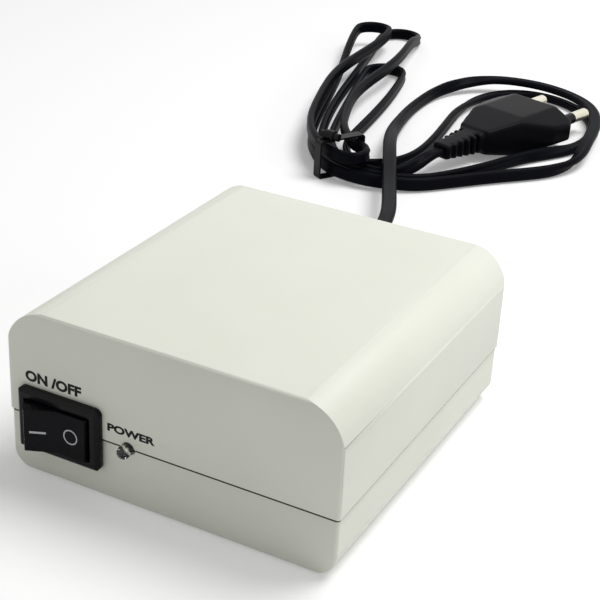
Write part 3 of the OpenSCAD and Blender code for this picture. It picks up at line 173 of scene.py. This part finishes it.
def armLoop(loop, start=44, steps=8, bend=(36, 72, 108, 144)):
    # out along one arm, round the bend and back along the other
    step = (loop["reach"] - start) / steps
    tip = [beside(loop["reach"] + loop["radius"] * math.sin(math.radians(a)),
                  loop["lean"] + loop["side"] * loop["radius"] * math.cos(math.radians(a)),
                  loop["tipHeight"], 90) for a in bend]
    outward = [start + i * step for i in range(steps + 1)]
    inward = [loop["reach"] - i * step for i in range(steps + 1)]
    return (armRun(loop, loop["slotOut"], loop["heightOut"], loop["side"], outward) + tip
            + armRun(loop, loop["slotBack"], loop["heightBack"], -loop["side"], inward))


def slotRun(slot, steps):
    return [beside(s, slot, cordSizes["low"] + hump(s), 90) for s in steps]


def foldBack(c):
    # the half turn that joins the first loop to the second, beside the tie
    out = []
    for degrees in range(0, 181, c["foldStep"]):
        a = math.radians(degrees)
        along = c["foldAt"] - c["fold"] * math.sin(a)
        out.append(beside(along, c["fold"] * math.cos(a), c["high"] + hump(along), 90))
    return out


def cordRoute(c):
    away = (math.sin(math.radians(c["turn"])), math.cos(math.radians(c["turn"])))

    def behind(v, z, turn):
        return (c["plug"][0] - v * away[0], c["plug"][1] - v * away[1], z, turn)

    points = (leadPoints + slotRun(slotOut, tieStops["first"]) + armLoop(armLoops[0]) + foldBack(c)
              + armLoop(armLoops[1]) + slotRun(slotIn, tieStops["second"]) + roundPoints
              + slotRun(-slotOut, tieStops["third"]) + armLoop(armLoops[2])
              + slotRun(-slotIn, tieStops["last"])
              + [behind(*c["plugEntry"])] + [behind(v, c["plugHeight"], 0) for v in c["plugRun"]])
    return spline(points, c["parts"], False)


def twinSection(w, t, n=7, wrap=125):
    # two round cores side by side with a shallow valley between them; wrap is half of each core's arc
    r, out = t / 2, []
    for side, start in ((1, -wrap), (-1, 180 - wrap)):
        for k in range(n):
            a = math.radians(start + k * 2 * wrap / (n - 1))
            out.append((side * (w / 2 - r) + r * math.cos(a), r * math.sin(a)))
    return out


def linkMesh(name, verts, faces, material=None, smooth=True, angle=35):
    mesh = bpy.data.meshes.new(name)
    mesh.from_pydata([tuple(v) for v in verts], [], faces)
    mesh.polygons.foreach_set("use_smooth", [smooth] * len(mesh.polygons))
    if smooth:
        mesh.set_sharp_from_angle(angle=math.radians(angle))
    obj = bpy.data.objects.new(name, mesh)
    scene.collection.objects.link(obj)
    if material:
        mesh.materials.append(material)
    return obj


def faceOut(obj, weld=None):
    # turns all faces outwards; corners closer than weld, in metres, become one
    bm = bmesh.new()
    bm.from_mesh(obj.data)
    if weld:
        bmesh.ops.remove_doubles(bm, verts=bm.verts, dist=weld)
    bmesh.ops.recalc_face_normals(bm, faces=bm.faces)
    bm.to_mesh(obj.data)
    bm.free()


def sweepTube(name, line, section, material=None):
    verts, faces, n = [], [], len(section)
    for i, p in enumerate(line):
        a, b = line[max(i - 1, 0)], line[min(i + 1, len(line) - 1)]
        d = Vector((b[0] - a[0], b[1] - a[1], b[2] - a[2])).normalized()
        side = Vector((0, 0, 1)).cross(d).normalized()
        up = d.cross(side)
        turn = math.radians(p[3])
        wide = side * math.cos(turn) + up * math.sin(turn)
        thin = up * math.cos(turn) - side * math.sin(turn)
        verts += [(Vector(p[:3]) + wide * x + thin * y) * mm for x, y in section]
    for k in range(len(line) - 1):
        for i in range(n):
            j = (i + 1) % n
            faces.append((k * n + i, (k + 1) * n + i, (k + 1) * n + j, k * n + j))
    faces.append(tuple(range(n)))
    faces.append(tuple(reversed(range((len(line) - 1) * n, len(line) * n))))
    obj = linkMesh(name, verts, faces, material, angle=50)
    faceOut(obj)
    obj.data.polygons.foreach_set("use_smooth", [True] * len(obj.data.polygons))
    return obj


cordLine = cordRoute(cordSizes)
mainsCord = sweepTube("mainsCord", cordLine, twinSection(cordSizes["width"], cordSizes["thickness"]))
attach(mainsCord, "case")
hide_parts("cord_lead", "cord_hank", "cord_tail")


# one shared effect: a fine grain that varies colour and roughness and gives a height
grainInputs = [("Light colour", "NodeSocketColor", (0.8, 0.8, 0.8, 1)),
               ("Dark colour", "NodeSocketColor", (0.7, 0.7, 0.7, 1)),
               ("Fine scale", "NodeSocketFloat", 2500.0), ("Patch scale", "NodeSocketFloat", 60.0),
               ("Smooth end", "NodeSocketFloat", 0.4), ("Rough end", "NodeSocketFloat", 0.5),
               ("Stretch", "NodeSocketVector", (1, 1, 1))]
grainOutputs = [("Colour", "NodeSocketColor"), ("Roughness", "NodeSocketFloat"),
                ("Height", "NodeSocketFloat")]
grainMix = {"fineDetail": 3, "patchDetail": 4, "fineShare": 0.35, "from": 0.45, "to": 0.9}


def grainGroup(look):
    g = bpy.data.node_groups.new("mouldedGrain", "ShaderNodeTree")
    for name, kind, value in grainInputs:
        g.interface.new_socket(name=name, in_out="INPUT", socket_type=kind).default_value = value
    for name, kind in grainOutputs:
        g.interface.new_socket(name=name, in_out="OUTPUT", socket_type=kind)
    n, l = g.nodes, g.links
    given, out, coord = n.new("NodeGroupInput"), n.new("NodeGroupOutput"), n.new("ShaderNodeTexCoord")
    stretch = n.new("ShaderNodeVectorMath")
    stretch.operation = "MULTIPLY"
    l.new(coord.outputs["Object"], stretch.inputs[0])
    l.new(given.outputs["Stretch"], stretch.inputs[1])
    fine, patch = n.new("ShaderNodeTexNoise"), n.new("ShaderNodeTexNoise")
    for noise, scale, detail in ((fine, "Fine scale", "fineDetail"), (patch, "Patch scale", "patchDetail")):
        noise.inputs["Detail"].default_value = look[detail]
        l.new(stretch.outputs[0], noise.inputs["Vector"])
        l.new(given.outputs[scale], noise.inputs["Scale"])
    both = n.new("ShaderNodeMath")
    both.operation = "MULTIPLY_ADD"
    both.inputs[1].default_value = look["fineShare"]
    l.new(fine.outputs["Fac"], both.inputs[0])
    l.new(patch.outputs["Fac"], both.inputs[2])
    spread = n.new("ShaderNodeMapRange")
    spread.inputs["From Min"].default_value = look["from"]
    spread.inputs["From Max"].default_value = look["to"]
    l.new(both.outputs[0], spread.inputs["Value"])
    mix = n.new("ShaderNodeMix")
    mix.data_type = "RGBA"
    l.new(spread.outputs["Result"], mix.inputs["Factor"])
    l.new(given.outputs["Light colour"], mix.inputs["A"])
    l.new(given.outputs["Dark colour"], mix.inputs["B"])
    rough = n.new("ShaderNodeMapRange")
    l.new(patch.outputs["Fac"], rough.inputs["Value"])
    l.new(given.outputs["Smooth end"], rough.inputs["To Min"])
    l.new(given.outputs["Rough end"], rough.inputs["To Max"])
    l.new(mix.outputs["Result"], out.inputs["Colour"])
    l.new(rough.outputs["Result"], out.inputs["Roughness"])
    l.new(fine.outputs["Fac"], out.inputs["Height"])
    return g


grain = grainGroup(grainMix)


def finish(name, light, dark=None, rough=(0.4, 0.5), metal=0.0, fine=2500.0, patch=60.0, bump=0.15, deep=0.05,
           coat=0.0, stretch=(1, 1, 1), see=0.0, ior=1.46, shine=0.5, coatRough=0.12, darker=0.9):
    # deep is the height of the grain in millimetres; dark defaults to a darker share of light
    m = bpy.data.materials.new(name)
    m.use_nodes = True
    n, l = m.node_tree.nodes, m.node_tree.links
    g = n.new("ShaderNodeGroup")
    g.node_tree = grain
    dark = dark or tuple(c * darker for c in light)
    for socket, value in (("Light colour", (*light, 1)), ("Dark colour", (*dark, 1)), ("Fine scale", fine),
                          ("Patch scale", patch), ("Smooth end", rough[0]), ("Rough end", rough[1]),
                          ("Stretch", stretch)):
        g.inputs[socket].default_value = value
    b = n.new("ShaderNodeBump")
    b.inputs["Strength"].default_value, b.inputs["Distance"].default_value = bump, deep * mm
    l.new(g.outputs["Height"], b.inputs["Height"])
    p = n["Principled BSDF"]
    l.new(g.outputs["Colour"], p.inputs["Base Color"])
    l.new(g.outputs["Roughness"], p.inputs["Roughness"])
    l.new(b.outputs["Normal"], p.inputs["Normal"])
    for socket, value in (("Metallic", metal), ("Coat Weight", coat), ("Coat Roughness", coatRough),
                          ("Transmission Weight", see), ("IOR", ior), ("Specular IOR Level", shine)):
        p.inputs[socket].default_value = value
    return m


# finishes, by what the piece is made of
finishLooks = {
    "paleShell": {"light": (0.775, 0.79, 0.70), "dark": (0.745, 0.76, 0.67), "rough": (0.42, 0.52),
                  "fine": 3200, "patch": 45, "bump": 0.22},
    "lowerShell": {"light": (0.765, 0.78, 0.69), "dark": (0.735, 0.75, 0.66), "rough": (0.42, 0.52),
                   "fine": 3200, "patch": 45, "bump": 0.22},
    "blackSatin": {"light": (0.004, 0.0035, 0.0045), "dark": (0.002, 0.002, 0.003),
                   "rough": (0.28, 0.38), "fine": 1800, "patch": 80, "bump": 0.12, "shine": 0.16},
    "blackGloss": {"light": (0.004, 0.003, 0.005), "dark": (0.002, 0.002, 0.003), "rough": (0.14, 0.22),
                   "fine": 900, "patch": 60, "bump": 0.04, "coat": 0.04, "shine": 0.08},
    "cordBlack": {"light": (0.004, 0.0045, 0.007), "dark": (0.002, 0.002, 0.0035),
                  "rough": (0.34, 0.44), "fine": 1400, "patch": 40, "bump": 0.14, "shine": 0.03},
    "plugBlack": {"light": (0.004, 0.004, 0.006), "dark": (0.002, 0.002, 0.003), "rough": (0.32, 0.42),
                  "fine": 2200, "patch": 50, "bump": 0.18, "shine": 0.06},
    # painted shade: a dark olive colour for the faces of the seam groove, standing in for its shadow
    "seamPaintedShade": {"light": (0.13, 0.13, 0.085), "dark": (0.09, 0.09, 0.06), "rough": (0.6, 0.7),
                  "bump": 0.05},
    "legendBlack": {"light": (0.006, 0.006, 0.006), "dark": (0.005, 0.005, 0.005), "rough": (0.5, 0.6),
                    "bump": 0.05, "shine": 0.2},
    "legendWhite": {"light": (0.5, 0.52, 0.54), "dark": (0.45, 0.47, 0.5), "rough": (0.4, 0.5),
                    "bump": 0.05},
    "clearLens": {"light": (0.97, 0.98, 0.97), "dark": (0.94, 0.95, 0.94), "rough": (0.02, 0.04),
                  "fine": 500, "patch": 200, "bump": 0.01, "see": 1.0, "ior": 1.5},
    "zincSteel": {"light": (0.55, 0.55, 0.56), "dark": (0.4, 0.4, 0.42), "rough": (0.25, 0.4),
                  "metal": 1.0, "fine": 4000, "patch": 200, "bump": 0.1},
    "tinPlate": {"light": (0.66, 0.67, 0.68), "dark": (0.55, 0.56, 0.57), "rough": (0.22, 0.36),
                 "metal": 1.0, "fine": 1500, "patch": 90, "bump": 0.08, "stretch": (1, 1, 6)},
    "nickel": {"light": (0.72, 0.70, 0.66), "dark": (0.6, 0.58, 0.54), "rough": (0.14, 0.24),
               "metal": 1.0, "fine": 2500, "patch": 150, "bump": 0.05},
    "pinMetal": {"light": (0.82, 0.78, 0.66), "dark": (0.74, 0.70, 0.58), "rough": (0.25, 0.35),
                 "metal": 0.85, "fine": 2500, "patch": 150, "bump": 0.05},
    "brass": {"light": (0.72, 0.52, 0.26), "dark": (0.6, 0.42, 0.2), "rough": (0.22, 0.34),
              "metal": 1.0, "fine": 2500, "patch": 120, "bump": 0.06},
    "copperWire": {"light": (0.62, 0.26, 0.1), "dark": (0.45, 0.17, 0.06), "rough": (0.25, 0.35),
                   "metal": 0.8, "fine": 900, "patch": 60, "bump": 0.5, "deep": 0.1,
                   "stretch": (1, 1, 5)},
    "laminations": {"light": (0.16, 0.165, 0.18), "dark": (0.1, 0.1, 0.11), "rough": (0.45, 0.6),
                    "metal": 0.6, "fine": 700, "patch": 80, "bump": 0.4, "deep": 0.1,
                    "stretch": (1, 6, 1)},
    "nylon": {"light": (0.74, 0.72, 0.62), "dark": (0.68, 0.66, 0.56), "rough": (0.4, 0.5),
              "patch": 90},
    "boardGreen": {"light": (0.035, 0.16, 0.06), "dark": (0.02, 0.1, 0.04), "rough": (0.25, 0.4),
                   "fine": 900, "patch": 250, "bump": 0.25},
    "epoxyBlack": {"light": (0.02, 0.02, 0.022), "dark": (0.013, 0.013, 0.015), "rough": (0.45, 0.6),
                   "fine": 3000, "patch": 100, "bump": 0.2},
    "sleeveBlue": {"light": (0.03, 0.04, 0.14), "dark": (0.02, 0.03, 0.1), "rough": (0.25, 0.35),
                   "fine": 1200, "patch": 120, "bump": 0.05},
    "aluminium": {"light": (0.68, 0.69, 0.7), "dark": (0.58, 0.59, 0.6), "rough": (0.28, 0.42),
                  "metal": 1.0, "fine": 1200, "patch": 80, "bump": 0.12, "stretch": (1, 1, 0.2)},
    "fuseGlass": {"light": (0.8, 0.85, 0.85), "dark": (0.75, 0.8, 0.8), "rough": (0.03, 0.06),
                  "bump": 0.02, "see": 0.9, "ior": 1.5},
    "wireBrown": {"light": (0.2, 0.08, 0.03), "rough": (0.35, 0.45), "bump": 0.05},
    "wireBlue": {"light": (0.03, 0.1, 0.4), "rough": (0.35, 0.45), "bump": 0.05},
    "whiteInsulator": {"light": (0.78, 0.77, 0.70), "dark": (0.72, 0.71, 0.64), "rough": (0.35, 0.45),
                       "patch": 120},
}
finishes = {name: finish(name, **look) for name, look in finishLooks.items()}
nodeFinish = {
    "case_screws": "zincSteel", "rocker_plunger": "nylon", "contact_arm": "brass",
    "switch_terminals": "nickel", "terminal_lugs": "sleeveBlue", "led_legs": "nickel",
    "circuit_board": "boardGreen", "board_screws": "zincSteel", "transformer_core": "laminations",
    "transformer_bobbin": "nylon", "transformer_winding": "copperWire", "fuse": "fuseGlass",
    "fuse_caps": "nickel", "fuse_clips": "brass", "rectifier_diodes": "epoxyBlack",
    "capacitors": "sleeveBlue", "voltage_regulator": "epoxyBlack", "heat_sink": "aluminium",
    "rf_can": "tinPlate", "rf_can_lid": "tinPlate", "modulator_chip": "epoxyBlack", "crystal": "nickel",
    "tuning_coil": "copperWire", "rf_output_socket": "nickel", "rf_insulator": "whiteInsulator",
    "rf_contact": "nickel", "av_socket_block": "blackSatin", "av_socket_barrels": "nickel",
    "socket_insulators": "whiteInsulator", "socket_contacts": "brass", "live_wire": "wireBrown",
    "switched_wire": "epoxyBlack", "neutral_wire": "wireBlue", "cord_inner_end": "cordBlack",
    "cord_tie": "blackSatin", "power_led": "clearLens", "plug_pins": "pinMetal",
    "pin_sleeves": "blackSatin",
}
for nodeName, finishName in nodeFinish.items():
    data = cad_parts[nodeName].data
    data.materials.clear()
    data.materials.append(finishes[finishName])
mainsCord.data.materials.append(finishes["cordBlack"])
print("finishes made")


# a copy of a rigid node with its edges eased, which stands for the node
# weld and width in millimetres, flat and sharp in degrees: joins below flat are dissolved, above sharp eased
easing = {"weld": 0.002, "flat": 0.6, "sharp": 32, "segments": 3}


def easedCopy(node, name, width, material, body="case", e=easing):
    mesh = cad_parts[node].data.copy()
    mesh.name = name
    mesh.materials.clear()
    mesh.materials.append(material)
    bm = bmesh.new()
    bm.from_mesh(mesh)
    bmesh.ops.remove_doubles(bm, verts=bm.verts, dist=e["weld"] * mm)
    bmesh.ops.dissolve_limit(bm, angle_limit=math.radians(e["flat"]), verts=bm.verts, edges=bm.edges)
    bm.to_mesh(mesh)
    bm.free()
    mesh.polygons.foreach_set("use_smooth", [True] * len(mesh.polygons))
    obj = bpy.data.objects.new(name, mesh)
    scene.collection.objects.link(obj)
    bevel = obj.modifiers.new("easedEdges", "BEVEL")
    bevel.width, bevel.segments = width * mm, e["segments"]
    bevel.limit_method, bevel.angle_limit = "ANGLE", math.radians(e["sharp"])
    bevel.harden_normals, bevel.use_clamp_overlap = True, True
    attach(obj, body)
    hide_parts(node)
    return obj


# node, name, width of the easing, finish and body
easedNodes = [("upper_shell", "upperShell", 0.3, "paleShell", "case"),
              ("lower_shell", "lowerShell", 0.3, "lowerShell", "case"),
              ("switch_housing", "switchFrame", 0.25, "blackSatin", "case"),
              ("switch_rocker", "rockerCap", 0.5, "blackGloss", "rocker"),
              ("cord_bushing", "strainRelief", 0.3, "plugBlack", "case"),
              ("plug_body", "plugBody", 0.3, "plugBlack", "case")]
eased = {name: easedCopy(node, name, width, finishes[look], body)
         for node, name, width, look, body in easedNodes}

# the plug's body is one soft moulding: its facets are melted into one another
plugSoft = {"voxel": 0.35, "factor": 0.5, "repeats": 30}
remesh = eased["plugBody"].modifiers.new("moulded", "REMESH")
remesh.mode, remesh.voxel_size, remesh.use_smooth_shade = "VOXEL", plugSoft["voxel"] * mm, True
soften = eased["plugBody"].modifiers.new("softened", "SMOOTH")
soften.factor, soften.iterations = plugSoft["factor"], plugSoft["repeats"]

# the narrow groove between the shells is painted darker than they are: painted shade that stands in for the
# shadow in the shallow groove
groove = {"seam": 14.1, "half": 0.32}
for name in ("upperShell", "lowerShell"):
    mesh = eased[name].data
    mesh.materials.append(finishes["seamPaintedShade"])
    for p in mesh.polygons:
        if abs(p.center.z / mm - groove["seam"]) < groove["half"]:
            p.material_index = 1
print("eased pieces made")

# the light's works seen through its clear lens: a dark cup round a small die
# each pair is a radius and a place along Y from the front face
ledParts = {"x": -9.4, "z": 14.1, "front": -42.5, "sides": 32, "weld": 0.0005,
            "cup": [(0.0, -0.6), (0.4, -0.6), (0.7, -0.1), (0.8, -0.1), (0.8, 0.9), (0.0, 0.9)],
            "die": [(0.0, -0.9), (0.2, -0.9), (0.24, -0.62), (0.0, -0.62)]}


def turned(name, outline, material, led=ledParts):
    # a turned form about the light's axis
    n, verts, faces = led["sides"], [], []
    for r, y in outline:
        for k in range(n):
            a = 2 * math.pi * k / n
            x, z = led["x"] + r * math.cos(a), led["z"] + r * math.sin(a)
            verts.append(Vector((x, led["front"] + y, z)) * mm)
    for i in range(len(outline) - 1):
        for k in range(n):
            j = (k + 1) % n
            faces.append((i * n + k, i * n + j, (i + 1) * n + j, (i + 1) * n + k))
    obj = linkMesh(name, verts, faces, material)
    faceOut(obj, led["weld"] * mm)
    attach(obj, "case")
    return obj


turned("ledCup", ledParts["cup"], finishes["plugBlack"])
turned("ledDie", ledParts["die"], finishes["nickel"])

# legends on the front, in a plain sans letter
# words: text, left, right, foot and height
legends = {"depth": 0.03, "front": -42.5, "weight": 0.045, "steps": 6, "thick": 0.01,
           "words": [("ON /OFF", -35.4, -21.0, 22.6, 2.6), ("POWER", -14.5, -2.7, 17.0, 1.9)]}


def flatWord(name, word, x0, x1, base, high, look=legends):
    curve = bpy.data.curves.new(name, "FONT")
    curve.body, curve.size, curve.extrude = word, 1, look["thick"]
    curve.resolution_u, curve.offset = look["steps"], look["weight"]
    temp = bpy.data.objects.new(name, curve)
    scene.collection.objects.link(temp)
    bpy.context.view_layer.update()
    mesh = bpy.data.meshes.new_from_object(temp.evaluated_get(bpy.context.evaluated_depsgraph_get()))
    bpy.data.objects.remove(temp)
    xs, ys = [v.co.x for v in mesh.vertices], [v.co.y for v in mesh.vertices]
    left, foot = min(xs), min(ys)
    kx, ky = (x1 - x0) / (max(xs) - left), high / (max(ys) - foot)
    for v in mesh.vertices:
        y = look["front"] - (look["depth"] if v.co.z > 0 else -look["depth"])
        v.co = Vector((x0 + (v.co.x - left) * kx, y, base + (v.co.y - foot) * ky)) * mm
    mesh.materials.clear()
    mesh.materials.append(finishes["legendBlack"])
    obj = bpy.data.objects.new(name, mesh)
    scene.collection.objects.link(obj)
    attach(obj, "case")
    return obj


for i, (word, x0, x1, base, high) in enumerate(legends["words"]):
    flatWord("legend%d" % (i + 1), word, x0, x1, base, high)

# marks on the rocker: a dash on the raised half, a ring on the pressed half
# dash: from, to, foot and top; ring: middle along, middle height, radius and line width
rockerMarks = {"pivot": (-26.2, -42.3), "lean": 12, "proud": 3.0, "lift": 0.03, "sides": 32,
               "dash": (2.3, 5.9, 13.45, 13.95), "ring": (3.5, 14.1, 1.8, 0.3)}


def rockerPoint(along, z, lift, m=rockerMarks):
    # a place on the rocker's face: along is measured from the middle, positive on the right half
    lean = math.radians(m["lean"])
    x, out = along * math.cos(lean), m["proud"] + abs(along) * math.sin(lean) + lift
    return Vector((m["pivot"][0] + x * math.cos(lean) + out * math.sin(lean),
                   m["pivot"][1] + x * math.sin(lean) - out * math.cos(lean), z)) * mm


def rockerMark(name, outline, hole=None, lift=rockerMarks["lift"]):
    # a thin plate that follows the face, with a hole where one is given
    n = len(outline)
    verts = [rockerPoint(a, z, side * lift) for side in (1, -1) for a, z in outline]
    faces = []
    if hole:
        verts += [rockerPoint(a, z, side * lift) for side in (1, -1) for a, z in hole]
        for i in range(n):
            j = (i + 1) % n
            faces += [(i, j, 2 * n + j, 2 * n + i), (n + j, n + i, 3 * n + i, 3 * n + j),
                      (j, i, n + i, n + j), (2 * n + i, 2 * n + j, 3 * n + j, 3 * n + i)]
    else:
        faces = [tuple(range(n)), tuple(reversed(range(n, 2 * n)))]
        faces += [((i + 1) % n, i, n + i, n + (i + 1) % n) for i in range(n)]
    obj = linkMesh(name, verts, faces, finishes["legendWhite"], smooth=False)
    faceOut(obj)
    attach(obj, "rocker")
    return obj


def ringLine(radius, m=rockerMarks):
    turns = [2 * math.pi * k / m["sides"] for k in range(m["sides"])]
    return [(m["ring"][0] + radius * math.cos(a), m["ring"][1] + radius * math.sin(a)) for a in turns]


near, far, foot, top = rockerMarks["dash"]
rockerMark("onMark", [(-far, foot), (-near, foot), (-near, top), (-far, top)])
ringRadius, ringWidth = rockerMarks["ring"][2:]
rockerMark("offMark", ringLine(ringRadius), ringLine(ringRadius - ringWidth))
print("legends made")

# floor, world and lamps
# reach in metres, drop in millimetres; each lamp has a name, a place, a size and a power
stageLook = {"floor": 0.84, "glow": 0.2, "world": 0.34, "reach": 6, "drop": 0.1, "aim": (0, 0.05, 0.02),
             "lamps": [("keyLamp", (0.25, 0.35, 0.85), 0.55, 6.2), ("fillLamp", (0.9, 0.0, 0.4), 0.5, 1.0),
                       ("frontLamp", (-0.15, -0.75, 0.55), 0.35, 0.35)]}


def seenRay(n, l):
    # one for rays that the camera, a gloss or a clear piece sends, and nothing for light that bounces
    path = n.new("ShaderNodeLightPath")
    a, b = n.new("ShaderNodeMath"), n.new("ShaderNodeMath")
    a.operation = b.operation = "MAXIMUM"
    l.new(path.outputs["Is Camera Ray"], a.inputs[0])
    l.new(path.outputs["Is Glossy Ray"], a.inputs[1])
    l.new(a.outputs[0], b.inputs[0])
    l.new(path.outputs["Is Transmission Ray"], b.inputs[1])
    return b.outputs[0]


def seenMix(n, l, plain, seen, surface):
    # shows seen to seenRay's rays and plain to the others
    mix = n.new("ShaderNodeMixShader")
    l.new(seenRay(n, l), mix.inputs[0])
    l.new(plain.outputs[0], mix.inputs[1])
    l.new(seen.outputs[0], mix.inputs[2])
    l.new(mix.outputs[0], surface)


def makeFloor(look):
    m = bpy.data.materials.new("paleFloor")
    m.use_nodes = True
    n, l = m.node_tree.nodes, m.node_tree.links
    n.remove(n["Principled BSDF"])
    plain, glow = n.new("ShaderNodeBsdfDiffuse"), n.new("ShaderNodeEmission")
    add = n.new("ShaderNodeAddShader")
    plain.inputs["Color"].default_value = (look["floor"],) * 3 + (1,)
    glow.inputs["Strength"].default_value = look["glow"]
    l.new(plain.outputs[0], add.inputs[0])
    l.new(glow.outputs[0], add.inputs[1])
    seenMix(n, l, plain, add, n["Material Output"].inputs["Surface"])
    s, z = look["reach"], -look["drop"] * mm
    corners = [(-s, -s, z), (s, -s, z), (s, s, z), (-s, s, z)]
    linkMesh("floor", corners, [(0, 1, 2, 3)], m, smooth=False)


def makeWorld(look):
    world = bpy.data.worlds.new("studio")
    world.use_nodes = True
    scene.world = world
    n, l = world.node_tree.nodes, world.node_tree.links
    light, white = n["Background"], n.new("ShaderNodeBackground")
    for background, strength in ((light, look["world"]), (white, 1.0)):
        background.inputs["Color"].default_value = (1, 1, 1, 1)
        background.inputs["Strength"].default_value = strength
    seenMix(n, l, light, white, n["World Output"].inputs["Surface"])


def makeLamps(look):
    for name, place, size, power in look["lamps"]:
        data = bpy.data.lights.new(name, "AREA")
        data.shape, data.size, data.energy = "DISK", size, power
        lamp = bpy.data.objects.new(name, data)
        scene.collection.objects.link(lamp)
        lamp.location = place
        lamp.rotation_euler = (Vector(look["aim"]) - Vector(place)).to_track_quat("-Z", "Y").to_euler()


makeFloor(stageLook)
makeWorld(stageLook)
makeLamps(stageLook)
scene.view_settings.view_transform = "Standard"
print("stage made")
